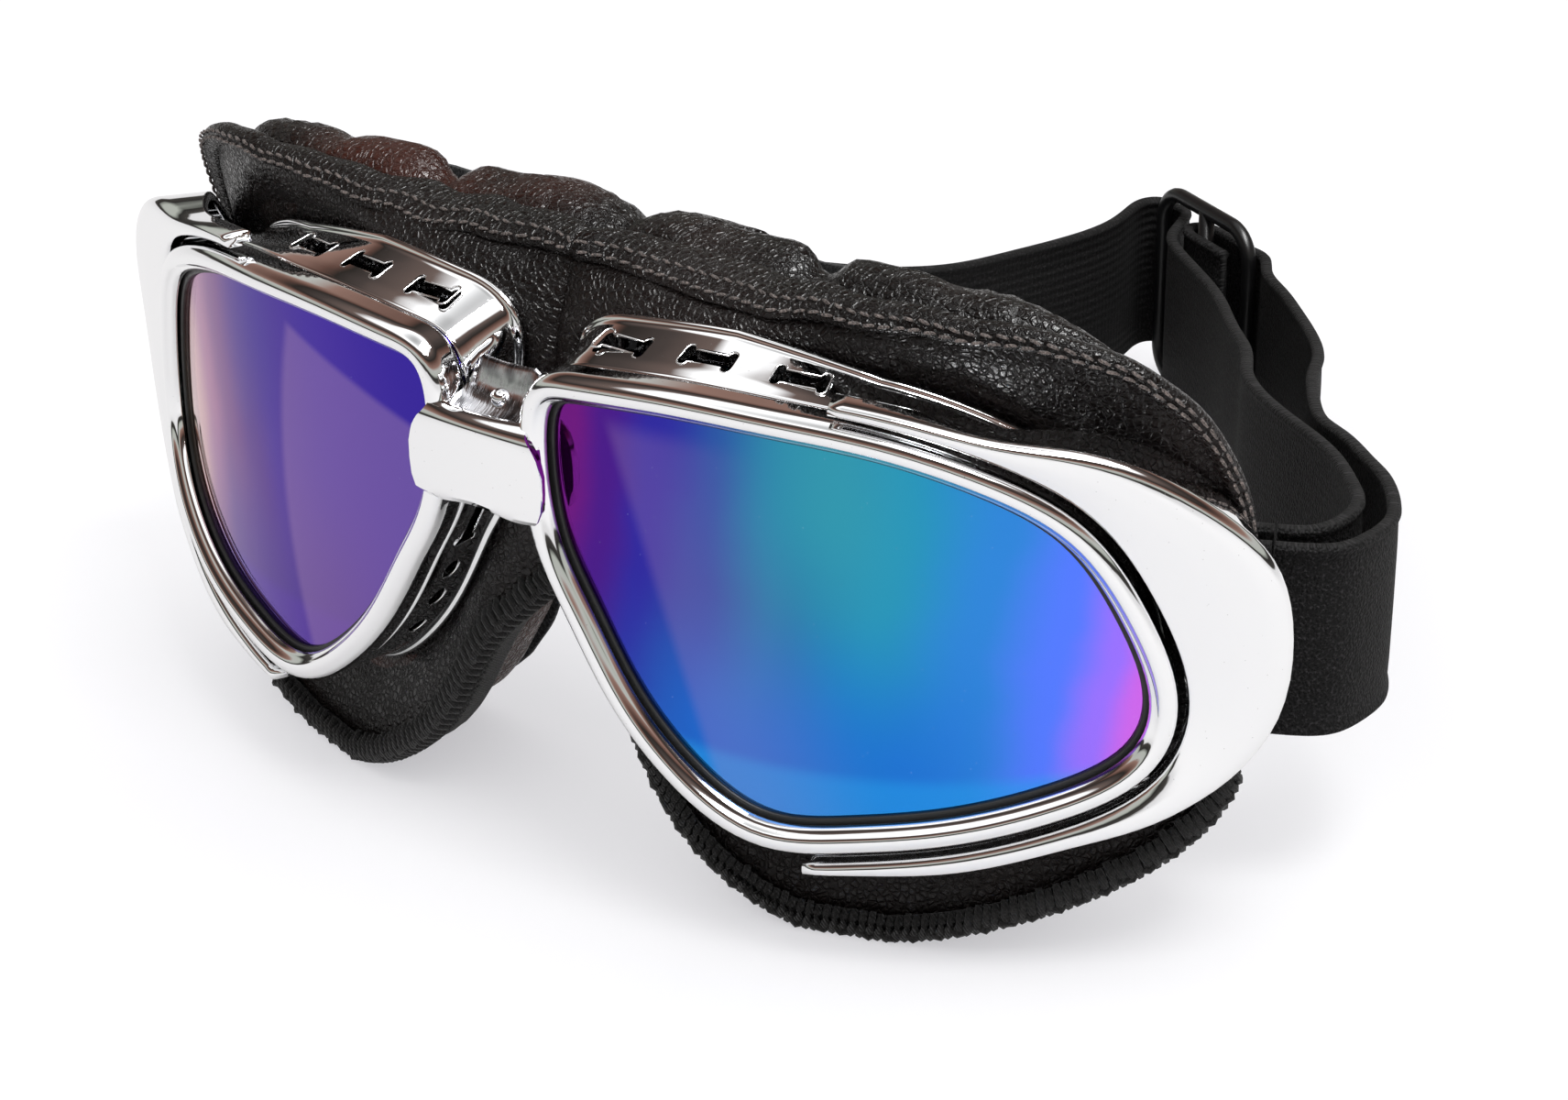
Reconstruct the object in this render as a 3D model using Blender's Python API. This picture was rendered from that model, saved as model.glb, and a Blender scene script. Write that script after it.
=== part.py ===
"""Riding goggles with two wrapped lenses, chromed eyecups hinged at the bridge, a leather pad and an elastic strap.

Metres, +Z up. The wearer's left is +X and the face looks along -Y. The goggles stand on the lower edge of the pad
and on the strap's slider, and the origin is on that surface, in the middle of the whole.
"""

import math

import bmesh
import bpy
import numpy as np
from mathutils import Matrix, Vector

# The wrapped face: from above it is straight in the middle and then an arc.
# A place on it is (s, z, h): s along the face from the middle, z up, and h out of its surface.
FLAT_HALF = 0.0106
WRAP_RADIUS = 0.104
FACE_Y = -0.0939
SIDES = {"left": 1, "right": -1}
CLEARANCE = 0.0004
STEPS = 2

# Lens window, seen from the front, from its upper corner at the nose round by the temple
WINDOW_START = 0.0092
WINDOW_LENGTH = 0.0735
WINDOW_LOW = 0.0195
WINDOW_HEIGHT = 0.0488
WINDOW_SHARES = (
    (0.0, 0.891), (0.019, 0.965), (0.065, 0.983), (0.224, 1.0), (0.414, 0.991), (0.574, 0.965), (0.729, 0.898),
    (0.861, 0.784), (0.953, 0.584), (1.0, 0.372), (0.969, 0.239), (0.852, 0.139), (0.685, 0.06), (0.527, 0.013),
    (0.378, 0.0), (0.242, 0.12), (0.148, 0.277), (0.075, 0.458), (0.016, 0.635),
)

# Bezel, gasket and lens, from the front backwards
BEZEL_WIDTH = 0.0036
BEZEL_RISE = 0.0008
BEZEL_LIP = 0.0014
BEZEL_DEPTH = 0.0042
BEZEL_WALL = 0.001
GASKET_THICKNESS = 0.0006
GASKET_SHOWS = 0.0004
LENS_THICKNESS = 0.0016
LENS_COLUMN = 0.005

# Eyecup frame, a flaring wall with a rear lip
FRAME_SILL = 0.0018
FRAME_INSET = 0.0003
FRAME_WALL = 0.0018
FRAME_LIP = 0.0052
FRAME_LIP_DEPTH = 0.0015
FRAME_DEPTH = 0.0139
VENT_HEIGHT = 0.0022
VENT_DEPTH = 0.0096
VENT_CUT = 0.0065
VENT_PLACES = ((0.0122, 0.0088), (0.026, 0.0069), (0.0393, 0.0074))
NOSE_VENT_LOW = 0.0395
NOSE_VENT_LENGTH = 0.009

# Hinge between an eyecup and the bridge
HINGE_X = 0.0034
HINGE_BEHIND = 0.0056
FOLD = math.radians(25)
FOLD_CLEARANCE = 0.0003
PIN_RADIUS = 0.0008
PIN_HEAD_RADIUS = 0.0014
PIN_HEAD = 0.0006
KNUCKLE_RADIUS = 0.0019
KNUCKLE_LOW = 0.0505
KNUCKLE_HEIGHT = 0.0032
BARREL_HEIGHT = 0.0052
ARM_THICKNESS = 0.0024
ARM_INSET = 0.0003

# Bridge saddle and its cover plate
SADDLE_HALF = 0.0049
SADDLE_LOW = 0.0495
SADDLE_FRONT = 0.0002
SADDLE_BACK = 0.0031
TONGUE_HALF = 0.0021
TONGUE_THICKNESS = 0.0014
TONGUE_REACH = 0.0092
RIVET_RADIUS = 0.0012
RIVET_HEIGHT = 0.0008
PLATE_HALF = 0.0098
PLATE_LOW = 0.0505
PLATE_HEIGHT = 0.0158
PLATE_GAP = 0.0012
PLATE_THICKNESS = 0.0012
PLATE_CORNER_SHARE = 0.42
STUD_RADIUS = 0.0012
STUD_HEIGHT_SHARE = 0.5

# Temple cover, a shell round the outer side of the bezel
COVER_GAP = 0.0009
COVER_START = 4
COVER_REACH = 0.0196
COVER_REACH_SHARES = (0.311, 0.317, 0.345, 0.65, 1.0, 0.8, 0.462, 0.366, 0.378, 0.329, 0.307)
COVER_FLARE = 0.0038
COVER_FLARE_SHARES = (0.0, 0.0, 0.05, 0.42, 1.0, 0.89, 0.47, 0.24, 0.0, 0.0, 0.0)
COVER_WALL = 0.0112
COVER_WALL_SHARES = (0.3, 0.3, 0.36, 0.7, 1.0, 1.0, 0.95, 0.6, 0.36, 0.3, 0.3)
COVER_SHELL = 0.0014
COVER_EDGE = 0.0023
COVER_CROWN = 0.0003
BOSS_RADIUS = 0.0022
BOSS_TOP = 0.0004
BOSS_DEPTH = 0.0117
BOSS_PLACES = {"upper": (0.0905, 0.0515), "lower": (0.0905, 0.038)}
WING_START, WING_END = 0.0852, 0.0925
WING_LOW, WING_HEIGHT = 0.0335, 0.0222
WING_FRONT, WING_THICKNESS = 0.0082, 0.0016

# Leather pad: its front edge, a seam above and an overlocked edge below
PAD_START = 0.0052
PAD_LENGTH = 0.0932
PAD_HEIGHT = 0.079
PAD_DEPTH = 0.0216
PAD_SHARES = (
    (0.0, 0.814, 0.777), (0.028, 1.0, 0.995), (0.094, 0.998, 0.97), (0.223, 0.99, 0.945), (0.374, 0.995, 0.815),
    (0.549, 0.999, 0.624), (0.722, 0.989, 0.448), (0.859, 0.92, 0.40), (0.973, 0.746, 0.516), (1.0, 0.591, 0.574),
    (0.999, 0.309, 0.536), (0.884, 0.157, 0.474), (0.642, 0.048, 0.41), (0.495, 0.0, 0.49), (0.369, 0.0, 0.5),
    (0.226, 0.072, 0.5), (0.132, 0.176, 0.525), (0.057, 0.317, 0.575), (0.0, 0.502, 0.722),
)
LEATHER = 0.0015
LEATHER_BULGE = 0.001
LEATHER_TUCK = 0.003

# Face cushion: its outer edge as a share of the way from window to pad edge, and its back
CUSHION_SHARES = (
    0.9, 0.93, 0.94, 0.93, 0.95, 0.95, 0.95, 0.86, 0.5, 0.32, 0.34, 0.66, 0.9, 0.91, 0.91, 0.9, 0.88, 0.87, 0.85,
)
BACK_START = 0.0155
BACK_LENGTH = 0.0695
BACK_LOW = 0.0035
BACK_BELOW_SEAM = 0.0015
BACK_SHARES = (
    (0.014, 0.791), (0.0, 0.98), (0.049, 1.0), (0.189, 1.0), (0.371, 1.0), (0.58, 0.986), (0.776, 0.939),
    (0.93, 0.845), (1.0, 0.709), (1.0, 0.52), (0.986, 0.318), (0.902, 0.142), (0.706, 0.034), (0.51, 0.0),
    (0.357, 0.0), (0.203, 0.074), (0.098, 0.182), (0.035, 0.318), (0.014, 0.52),
)
OPENING_START = 0.0265
OPENING_LENGTH = 0.0535
OPENING_LOW = 0.0185
OPENING_HEIGHT = 0.048
OPENING_SHARES = (
    (0.009, 0.823), (0.009, 0.948), (0.065, 0.99), (0.178, 1.0), (0.346, 1.0), (0.533, 0.99), (0.72, 0.938),
    (0.869, 0.823), (0.963, 0.635), (1.0, 0.438), (0.963, 0.26), (0.832, 0.135), (0.626, 0.042), (0.421, 0.0),
    (0.271, 0.01), (0.159, 0.094), (0.065, 0.24), (0.009, 0.427), (0.0, 0.635),
)
CUSHION_DEPTH_AT_NOSE = 0.0366
CUSHION_DEPTH_AT_TEMPLE = 0.0246
CUSHION_GAP = 0.0014
CUSHION_ROUND = 0.004
CUSHION_CROWN = 0.0022
CUSHION_MIDDLE = 0.0075
TUCK_PLACE = 0.035
TUCK_WIDTH = 0.005
TUCK_DEPTH = 0.0028
LINING_THICKNESS = 0.0009
LINING_SHARES = (0.12, 0.88)

# Overlocked edge below
BINDING_SPAN = (11, 17)
BINDING_HEIGHT = 0.005
BINDING_THICKNESS = 0.0009
BINDING_DEPTH = 0.0072

# Middle of the pad between the eyecups, and the padded roll above it
NOSE_ROW_SHARES = (
    (0.447, 0.98, 0.73), (0.57, 0.98, 0.73), (0.7, 0.98, 0.73), (0.82, 0.98, 0.75), (0.9, 1.1, 0.81),
    (0.96, 1.3, 0.92), (1.0, 1.48, 1.0),
)
NOSE_HALF = 0.0048
NOSE_COLUMN_SHARES = (-1.0, -0.5, 0.0, 0.5, 1.0)
ARCH_RISE = 0.0016
ROLL_STATION_SHARES = (-1.0, -0.6, 0.0, 0.6, 1.0)
ROLL_SECTION_SHARES = (
    (0.0, 0.3), (0.0, 0.78), (0.18, 0.97), (0.5, 1.0), (0.85, 0.93), (1.0, 0.6), (1.0, 0.2), (0.5, 0.0),
)
ROLL_ABOVE_SEAM = 0.001
ROLL_HEIGHT = 0.0145
ROLL_DEPTH = 0.0118
ROLL_GAP = 0.0021
ROLL_TUCK = 0.0026

# Strap bracket behind the pad, with its bar
BRACKET_START, BRACKET_END = 0.0897, 0.0955
BRACKET_THICKNESS = 0.0012
BRACKET_MARGIN = 0.0009
LUG_HEIGHT = 0.0022
LUG_WALL = 0.0006
BAR_RADIUS = 0.0012
BAR_S = 0.0932
BAR_BEHIND = 0.0222
LUG_BEYOND_BAR = 0.0022
SCREW_RADIUS = 0.001
SCREW_HEAD_RADIUS = 0.0018
SCREW_HEAD = 0.0009
SCREW_TIP = 0.0062
HOLE_CLEARANCE = 0.0003

# Elastic strap. Its routes are seen from above, as shares along and across the straight way between their ends
STRAP_WIDTH = 0.025
STRAP_THICKNESS = 0.0015
STRAP_HEIGHT_AT_TEMPLE = 0.0368
STRAP_LEG = 0.0093
LEG_TURN = math.radians(25)
LOOP_STEPS = 8
SLIDER_X = -0.0055
SLIDER_BACK = 0.1804
SLIDER_TURN = math.radians(152)
SLIDER_LENGTH = 0.0276
SLIDER_HEIGHT = 0.034
SLIDER_BAR = 0.0036
SLIDER_RAIL = 0.0041
SLIDER_THICKNESS = 0.0024
SLIDER_BEVEL = 0.0006
SEWN_LEG = 0.009
OUTER_ROUTE_SHARES = (
    (0.002, -0.045), (0.025, -0.071), (0.058, -0.089), (0.093, -0.097), (0.177, -0.093), (0.231, -0.081),
    (0.301, -0.065), (0.36, -0.047), (0.414, -0.041), (0.473, -0.04), (0.554, -0.042), (0.636, -0.049),
    (0.738, -0.043), (0.815, -0.032), (0.893, -0.017), (0.952, -0.003),
)
INNER_ROUTE_SHARES = (
    (0.0, -0.029), (0.02, -0.052), (0.053, -0.068), (0.086, -0.07), (0.134, -0.067), (0.187, -0.06),
    (0.26, -0.042), (0.336, -0.026), (0.425, -0.019), (0.516, -0.027), (0.618, -0.025), (0.727, -0.024),
    (0.825, -0.016), (0.91, -0.003), (0.953, 0.003),
)
REAR_ROUTE_SHARES = (
    (0.006, -0.014), (0.024, -0.017), (0.056, 0.001), (0.089, 0.023), (0.13, 0.043), (0.198, 0.067),
    (0.266, 0.09), (0.337, 0.114), (0.394, 0.121), (0.444, 0.114), (0.507, 0.092), (0.588, 0.06),
    (0.68, 0.022), (0.771, -0.017), (0.848, -0.047), (0.901, -0.063), (0.938, -0.065), (0.97, -0.055),
    (0.992, -0.034),
)


def smoothed(points, closed=True):
    """The points with STEPS pieces of a smooth curve between neighbours."""
    points = np.asarray(points, float)
    count = len(points)
    reach = range(count) if closed else range(count - 1)
    made = []
    for place in reach:
        around = [place - 1, place, place + 1, place + 2]
        before, start, end, after = points[[k % count if closed else min(max(k, 0), count - 1) for k in around]]
        for step in range(STEPS):
            t = step / STEPS
            made.append(
                start
                + (end - before) / 2 * t
                + (2 * before - 5 * start + 4 * end - after) / 2 * t**2
                + (3 * start - before - 3 * end + after) / 2 * t**3
            )
    if not closed:
        made.append(points[-1])
    return np.array(made)


def wrapped(points):
    """The places in space of points (s, z, h) on the wrapped face."""
    s, z, h = np.moveaxis(np.asarray(points, float), -1, 0)
    angle = np.maximum(s - FLAT_HALF, 0) / WRAP_RADIUS
    reach = WRAP_RADIUS + h
    x = np.minimum(s, FLAT_HALF) + reach * np.sin(angle)
    return np.stack((x, FACE_Y + WRAP_RADIUS - reach * np.cos(angle), z), -1)


def outline_of(shares, start, length, low, height):
    return smoothed([(start + share[0] * length, low + share[1] * height) for share in shares])


def outward(outline):
    """Unit normals of a closed outline, pointing away from its middle."""
    along = np.roll(outline, -1, 0) - np.roll(outline, 1, 0)
    normals = np.stack((-along[:, 1], along[:, 0]), -1) / np.linalg.norm(along, axis=1)[:, None]
    turned = np.sum((outline - outline.mean(0)) * normals) < 0
    return -normals if turned else normals


WINDOW = outline_of(WINDOW_SHARES, WINDOW_START, WINDOW_LENGTH, WINDOW_LOW, WINDOW_HEIGHT)
WINDOW_NORMALS = outward(WINDOW)
PAD_EDGE = outline_of(PAD_SHARES, PAD_START, PAD_LENGTH, 0, PAD_HEIGHT)
PAD_EDGE[:, 1] = np.maximum(PAD_EDGE[:, 1], 0)
PAD_EDGE_H = smoothed([[-share[2] * PAD_DEPTH] for share in PAD_SHARES])[:, 0]
BACK_EDGE = outline_of(BACK_SHARES, BACK_START, BACK_LENGTH, BACK_LOW, PAD_HEIGHT - BACK_BELOW_SEAM - BACK_LOW)
OPENING = outline_of(OPENING_SHARES, OPENING_START, OPENING_LENGTH, OPENING_LOW, OPENING_HEIGHT)


def with_h(outline, h):
    return np.column_stack((outline, np.broadcast_to(h, len(outline))))


def around_window(distance, h):
    """A loop at this distance outside the window's edge."""
    return wrapped(with_h(WINDOW + WINDOW_NORMALS * distance, h))


def cushion_back(s):
    """How far out of the face, so below zero, the cushion's back lies at s."""
    share = s / (PAD_START + PAD_LENGTH)
    return -(CUSHION_DEPTH_AT_NOSE + (CUSHION_DEPTH_AT_TEMPLE - CUSHION_DEPTH_AT_NOSE) * share)


HINGE_Y = FACE_Y + HINGE_BEHIND


def clear_of_fold(points):
    """The points, moved off the middle where the fold of both halves would bring them together."""
    room = (points[:, 1] - HINGE_Y) * math.sin(FOLD) - (HINGE_X - FOLD_CLEARANCE)
    least = HINGE_X + room / math.cos(FOLD)
    moved = points.copy()
    moved[:, 0] = np.maximum(points[:, 0], np.maximum(least, FOLD_CLEARANCE))
    return moved


def fold_limit(y):
    return HINGE_X + ((y - HINGE_Y) * math.sin(FOLD) - (HINGE_X - FOLD_CLEARANCE)) / math.cos(FOLD)


def material(name, colour, roughness, metallic=0.0):
    made = bpy.data.materials.new(name)
    made.use_nodes = True
    shader = made.node_tree.nodes["Principled BSDF"]
    shader.inputs["Base Color"].default_value = (*colour, 1)
    shader.inputs["Roughness"].default_value = roughness
    shader.inputs["Metallic"].default_value = metallic
    made.diffuse_color = (*colour, 1)
    return made


def scene_object(name, bm, finish):
    """An object made of this mesh, shaded smooth but for its sharp edges."""
    bmesh.ops.recalc_face_normals(bm, faces=bm.faces)
    if bm.calc_volume(signed=True) < 0:
        bmesh.ops.reverse_faces(bm, faces=bm.faces)
    mesh = bpy.data.meshes.new(name)
    bm.to_mesh(mesh)
    bm.free()
    mesh.shade_smooth()
    mesh.set_sharp_from_angle(angle=math.radians(40))
    mesh.materials.append(finish)
    made = bpy.data.objects.new(name, mesh)
    bpy.context.scene.collection.objects.link(made)
    return made


def mirrored(points, side):
    return np.asarray(points, float) * (side, 1, 1)


def skin(name, sections, finish, side=1, joined=False):
    """A solid through sections of as many points each. Joined, the last section meets the first, as in a ring."""
    sections = mirrored(sections, side)
    count, corners = sections.shape[:2]
    bm = bmesh.new()
    verts = [[bm.verts.new(point) for point in section] for section in sections]
    for place in range(count if joined else count - 1):
        near, far = verts[place], verts[(place + 1) % count]
        for corner in range(corners):
            after = (corner + 1) % corners
            bm.faces.new((near[corner], near[after], far[after], far[corner]))
    if not joined:
        bm.faces.new(verts[0])
        bm.faces.new(verts[-1])
    return scene_object(name, bm, finish)


def ring(name, loops, finish, side):
    """A ring from loops that run round the eye, in the order that its section takes them."""
    return skin(name, np.stack(loops, 1), finish, side, joined=True)


def bent_plate(name, outline, back, front, finish, side=1):
    """A plate of this flat outline, cut into columns and bent onto the face between two depths."""
    bm = bmesh.new()
    rows = [[bm.verts.new((s, z, h)) for s, z in outline] for h in (back, front)]
    for row in rows:
        bm.faces.new(row)
    count = len(outline)
    for place in range(count):
        after = (place + 1) % count
        bm.faces.new((rows[0][place], rows[0][after], rows[1][after], rows[1][place]))
    start, end = min(point[0] for point in outline), max(point[0] for point in outline)
    columns = max(math.ceil((end - start) / LENS_COLUMN), 1)
    for column in range(1, columns):
        cut_at = start + (end - start) * column / columns
        everything = bm.verts[:] + bm.edges[:] + bm.faces[:]
        bmesh.ops.bisect_plane(bm, geom=everything, plane_co=(cut_at, 0, 0), plane_no=(1, 0, 0))
    for vert in bm.verts:
        vert.co = mirrored(wrapped(vert.co), side)
    return scene_object(name, bm, finish)


def box(name, low, high, finish, side=1):
    """A straight box between two corners."""
    bm = bmesh.new()
    bmesh.ops.create_cube(bm, size=1)
    low, high = np.array(low), np.array(high)
    for vert in bm.verts:
        vert.co = mirrored(low + (np.array(vert.co) + 0.5) * (high - low), side)
    return scene_object(name, bm, finish)


def rod(name, start, end, radius, finish, side=1, segments=16):
    """A round rod between two points."""
    start, end = Vector(mirrored(start, side)), Vector(mirrored(end, side))
    bm = bmesh.new()
    bmesh.ops.create_cone(
        bm, cap_ends=True, segments=segments, radius1=radius, radius2=radius, depth=(end - start).length
    )
    turn = (end - start).to_track_quat("Z", "Y").to_matrix().to_4x4()
    bmesh.ops.transform(bm, matrix=Matrix.Translation((start + end) / 2) @ turn, verts=bm.verts)
    return scene_object(name, bm, finish)


def peg(name, place, depth, top, radius, finish, side=1):
    """A round rod square to the wrapped face at place, between two depths."""
    s, z = place
    return rod(name, wrapped((s, z, depth)), wrapped((s, z, top)), radius, finish, side)


def combined(target, other, operation):
    """Joins the other solid to the target, or cuts it out, with the other kept as a guide."""
    other.hide_render = True
    other.hide_set(True)
    other.display_type = "WIRE"
    change = target.modifiers.new(other.name, "BOOLEAN")
    change.operation = operation
    change.object = other


def bezel(name, finish, side):
    section = (
        (0, -BEZEL_RISE),
        (BEZEL_WIDTH / 4, BEZEL_RISE * 0.75),
        (BEZEL_WIDTH * 0.7, BEZEL_RISE),
        (BEZEL_WIDTH, -BEZEL_RISE * 0.7),
        (BEZEL_WIDTH, -BEZEL_DEPTH),
        (BEZEL_WIDTH - BEZEL_WALL, -BEZEL_DEPTH),
        (BEZEL_WIDTH - BEZEL_WALL, -BEZEL_LIP),
        (0, -BEZEL_LIP),
    )
    return ring(name, [around_window(distance, h) for distance, h in section], finish, side)


GASKET_FRONT = -(BEZEL_LIP + CLEARANCE)
LENS_FRONT = GASKET_FRONT - GASKET_THICKNESS - CLEARANCE
LENS_REACH = BEZEL_WIDTH - BEZEL_WALL - CLEARANCE


def gasket(name, finish, side):
    section = (
        (-GASKET_SHOWS, GASKET_FRONT),
        (LENS_REACH, GASKET_FRONT),
        (LENS_REACH, GASKET_FRONT - GASKET_THICKNESS),
        (-GASKET_SHOWS, GASKET_FRONT - GASKET_THICKNESS),
    )
    return ring(name, [around_window(distance, h) for distance, h in section], finish, side)


def lens(name, finish, side):
    outline = WINDOW + WINDOW_NORMALS * LENS_REACH
    return bent_plate(name, outline, LENS_FRONT - LENS_THICKNESS, LENS_FRONT, finish, side)


FRAME_FRONT = min(LENS_FRONT - LENS_THICKNESS, -BEZEL_DEPTH) - CLEARANCE


def eyecup_frame(name, finish, side):
    """The flaring ring, its vents, the wing that carries the temple cover and two hinge knuckles."""
    front_edge = BEZEL_WIDTH - FRAME_INSET
    middle = (FRAME_FRONT - FRAME_DEPTH) / 2
    section = (
        (FRAME_INSET, FRAME_FRONT),
        (front_edge, FRAME_FRONT),
        (front_edge + FRAME_WALL / 3, middle),
        (FRAME_LIP, FRAME_LIP_DEPTH - FRAME_DEPTH),
        (FRAME_LIP, -FRAME_DEPTH),
        (front_edge - FRAME_WALL / 2, -FRAME_DEPTH),
        (front_edge - FRAME_WALL * 0.75, FRAME_FRONT - FRAME_SILL),
        (FRAME_INSET, FRAME_FRONT - FRAME_SILL),
    )
    made = ring(name, [around_window(distance, h) for distance, h in section], finish, side)
    for number, (s, length) in enumerate(VENT_PLACES):
        above = WINDOW[:, 1] > WINDOW_LOW + WINDOW_HEIGHT / 2
        nearest = np.argmin(np.where(above, np.abs(WINDOW[:, 0] - s), np.inf))
        z = WINDOW[nearest, 1] + front_edge
        outline = [(s + a * length / 2, z + b * VENT_CUT / 2) for a, b in ((-1, -1), (1, -1), (1, 1), (-1, 1))]
        cutter = bent_plate(
            f"{name}_vent_{number}", outline, -VENT_DEPTH - VENT_HEIGHT / 2, -VENT_DEPTH + VENT_HEIGHT / 2, finish, side
        )
        combined(made, cutter, "DIFFERENCE")
    nose = WINDOW_START - front_edge - FRAME_WALL
    outline = [
        (nose + a * FRAME_WALL * 2.5, NOSE_VENT_LOW + b * NOSE_VENT_LENGTH) for a, b in ((-1, 0), (1, 0), (1, 1), (-1, 1))
    ]
    cutter = bent_plate(
        f"{name}_nose_vent", outline, -VENT_DEPTH - VENT_HEIGHT / 2, -VENT_DEPTH + VENT_HEIGHT / 2, finish, side
    )
    combined(made, cutter, "DIFFERENCE")
    low, high = WING_LOW, WING_LOW + WING_HEIGHT
    outline = [(WING_START, low), (WING_END, low), (WING_END, high), (WING_START, high)]
    wing = bent_plate(f"{name}_wing", outline, -WING_FRONT - WING_THICKNESS, -WING_FRONT, finish, side)
    combined(made, wing, "UNION")
    for level, place in BOSS_PLACES.items():
        hole = peg(
            f"{name}_{level}_hole", place, -BOSS_DEPTH, 0, BOSS_RADIUS + HOLE_CLEARANCE, finish, side
        )
        combined(made, hole, "DIFFERENCE")
    arm_end = WINDOW_START - front_edge + FRAME_WALL / 2
    arm_back = HINGE_Y + ARM_THICKNESS / 2
    for number, z in enumerate(knuckle_levels()):
        top = z + KNUCKLE_HEIGHT
        eye = rod(f"{name}_eye_{number}", (HINGE_X, HINGE_Y, z), (HINGE_X, HINGE_Y, top), KNUCKLE_RADIUS, finish, side)
        arm_corner = (HINGE_X, arm_back - ARM_THICKNESS, z + ARM_INSET)
        arm = box(f"{name}_arm_{number}", arm_corner, (arm_end, arm_back, top - ARM_INSET), finish, side)
        combined(made, arm, "UNION")
        combined(made, eye, "UNION")
    bore = rod(
        f"{name}_bore",
        (HINGE_X, HINGE_Y, KNUCKLE_LOW - KNUCKLE_HEIGHT),
        (HINGE_X, HINGE_Y, pin_top() + KNUCKLE_HEIGHT),
        PIN_RADIUS + HOLE_CLEARANCE,
        finish,
        side,
    )
    combined(made, bore, "DIFFERENCE")
    return made


def knuckle_levels():
    return (KNUCKLE_LOW, KNUCKLE_LOW + KNUCKLE_HEIGHT + BARREL_HEIGHT + 2 * CLEARANCE)


def pin_top():
    return knuckle_levels()[1] + KNUCKLE_HEIGHT


def hinge_pin(name, finish, side):
    """A pin with a head above and a riveted end below."""
    low, high = KNUCKLE_LOW - CLEARANCE, pin_top() + CLEARANCE
    made = rod(name, (HINGE_X, HINGE_Y, low), (HINGE_X, HINGE_Y, high), PIN_RADIUS, finish, side)
    for end, start in enumerate((low - PIN_HEAD, high)):
        head = rod(
            f"{name}_head_{end}",
            (HINGE_X, HINGE_Y, start),
            (HINGE_X, HINGE_Y, start + PIN_HEAD),
            PIN_HEAD_RADIUS,
            finish,
            side,
        )
        combined(made, head, "UNION")
    return made


def cover_sections():
    """Sections of the temple cover along the bezel's outer side."""
    shares = np.column_stack((COVER_REACH_SHARES, COVER_FLARE_SHARES, COVER_WALL_SHARES))
    inner = BEZEL_WIDTH + COVER_GAP
    sections = []
    for place, (reach_share, flare_share, wall_share) in enumerate(smoothed(shares, closed=False)[1:-1]):
        place += COVER_START * STEPS + 1
        reach, flare = reach_share * COVER_REACH, flare_share * COVER_FLARE
        width = reach - inner
        depth = -wall_share * COVER_WALL
        under = flare - COVER_EDGE
        profile = (
            (inner, -COVER_EDGE),
            (inner, -COVER_CROWN),
            (inner + width * 0.45, flare * 0.35 + COVER_CROWN),
            (inner + width * 0.85, flare * 0.85),
            (reach, flare - COVER_EDGE / 2),
            (reach, depth),
            (reach - COVER_SHELL, depth),
            (reach - COVER_SHELL, under - COVER_CROWN),
            (inner + width * 0.45, flare * 0.35 - COVER_EDGE),
        )
        edge, normal = WINDOW[place], WINDOW_NORMALS[place]
        sections.append([(*(edge + normal * distance), h) for distance, h in profile])
    return wrapped(sections)


def temple_cover(name, finish, side):
    made = skin(name, cover_sections(), finish, side)
    for level, place in BOSS_PLACES.items():
        boss = peg(f"{name}_{level}_boss", place, -BOSS_DEPTH, BOSS_TOP, BOSS_RADIUS, finish, side)
        combined(made, boss, "UNION")
        hole = peg(
            f"{name}_{level}_hole",
            place,
            -BOSS_DEPTH - BOSS_RADIUS,
            -SCREW_TIP + SCREW_RADIUS,
            SCREW_RADIUS + HOLE_CLEARANCE,
            finish,
            side,
        )
        combined(made, hole, "DIFFERENCE")
    return made


def toward_pad(distance, share, h):
    """A loop this far outside the window towards the pad's edge, but at most this share of the way."""
    way = PAD_EDGE - WINDOW
    straight_out = np.sum(way * WINDOW_NORMALS, axis=1)
    part = np.minimum(distance / np.maximum(straight_out, distance), share)
    return with_h(WINDOW + way * part[:, None], h)


def leather_loops():
    """The front of the leather, from under the frame's lip to the pad's edge."""
    inner = toward_pad(LEATHER_TUCK, 0.3, -FRAME_DEPTH - CLEARANCE)
    lip = toward_pad(FRAME_LIP + LEATHER_BULGE, 0.6, -FRAME_DEPTH - CLEARANCE)
    edge = with_h(PAD_EDGE + (PAD_EDGE - WINDOW) * -binding_share()[:, None], PAD_EDGE_H)
    middle = (lip + edge) / 2
    middle[:, 2] += LEATHER_BULGE
    return [inner, lip, middle, edge]


def binding_share():
    """The share of the way from window to pad edge that the binding takes, with its clearance."""
    length = np.linalg.norm(PAD_EDGE - WINDOW, axis=1)
    return (BINDING_THICKNESS + CLEARANCE) / length


def behind(loop, distance):
    return loop - (0, 0, distance)


def leather_skirt(name, finish, side):
    front = leather_loops()
    loops = front + [behind(loop, LEATHER) for loop in reversed(front)]
    made = ring(name, [clear_of_fold(wrapped(loop)) for loop in loops], finish, side)
    for level, place in BOSS_PLACES.items():
        hole = peg(
            f"{name}_{level}_hole",
            place,
            -BOSS_DEPTH - BOSS_RADIUS * 2,
            -BOSS_DEPTH + BOSS_RADIUS * 2,
            SCREW_RADIUS + HOLE_CLEARANCE,
            finish,
            side,
        )
        combined(made, hole, "DIFFERENCE")
    return made


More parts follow.
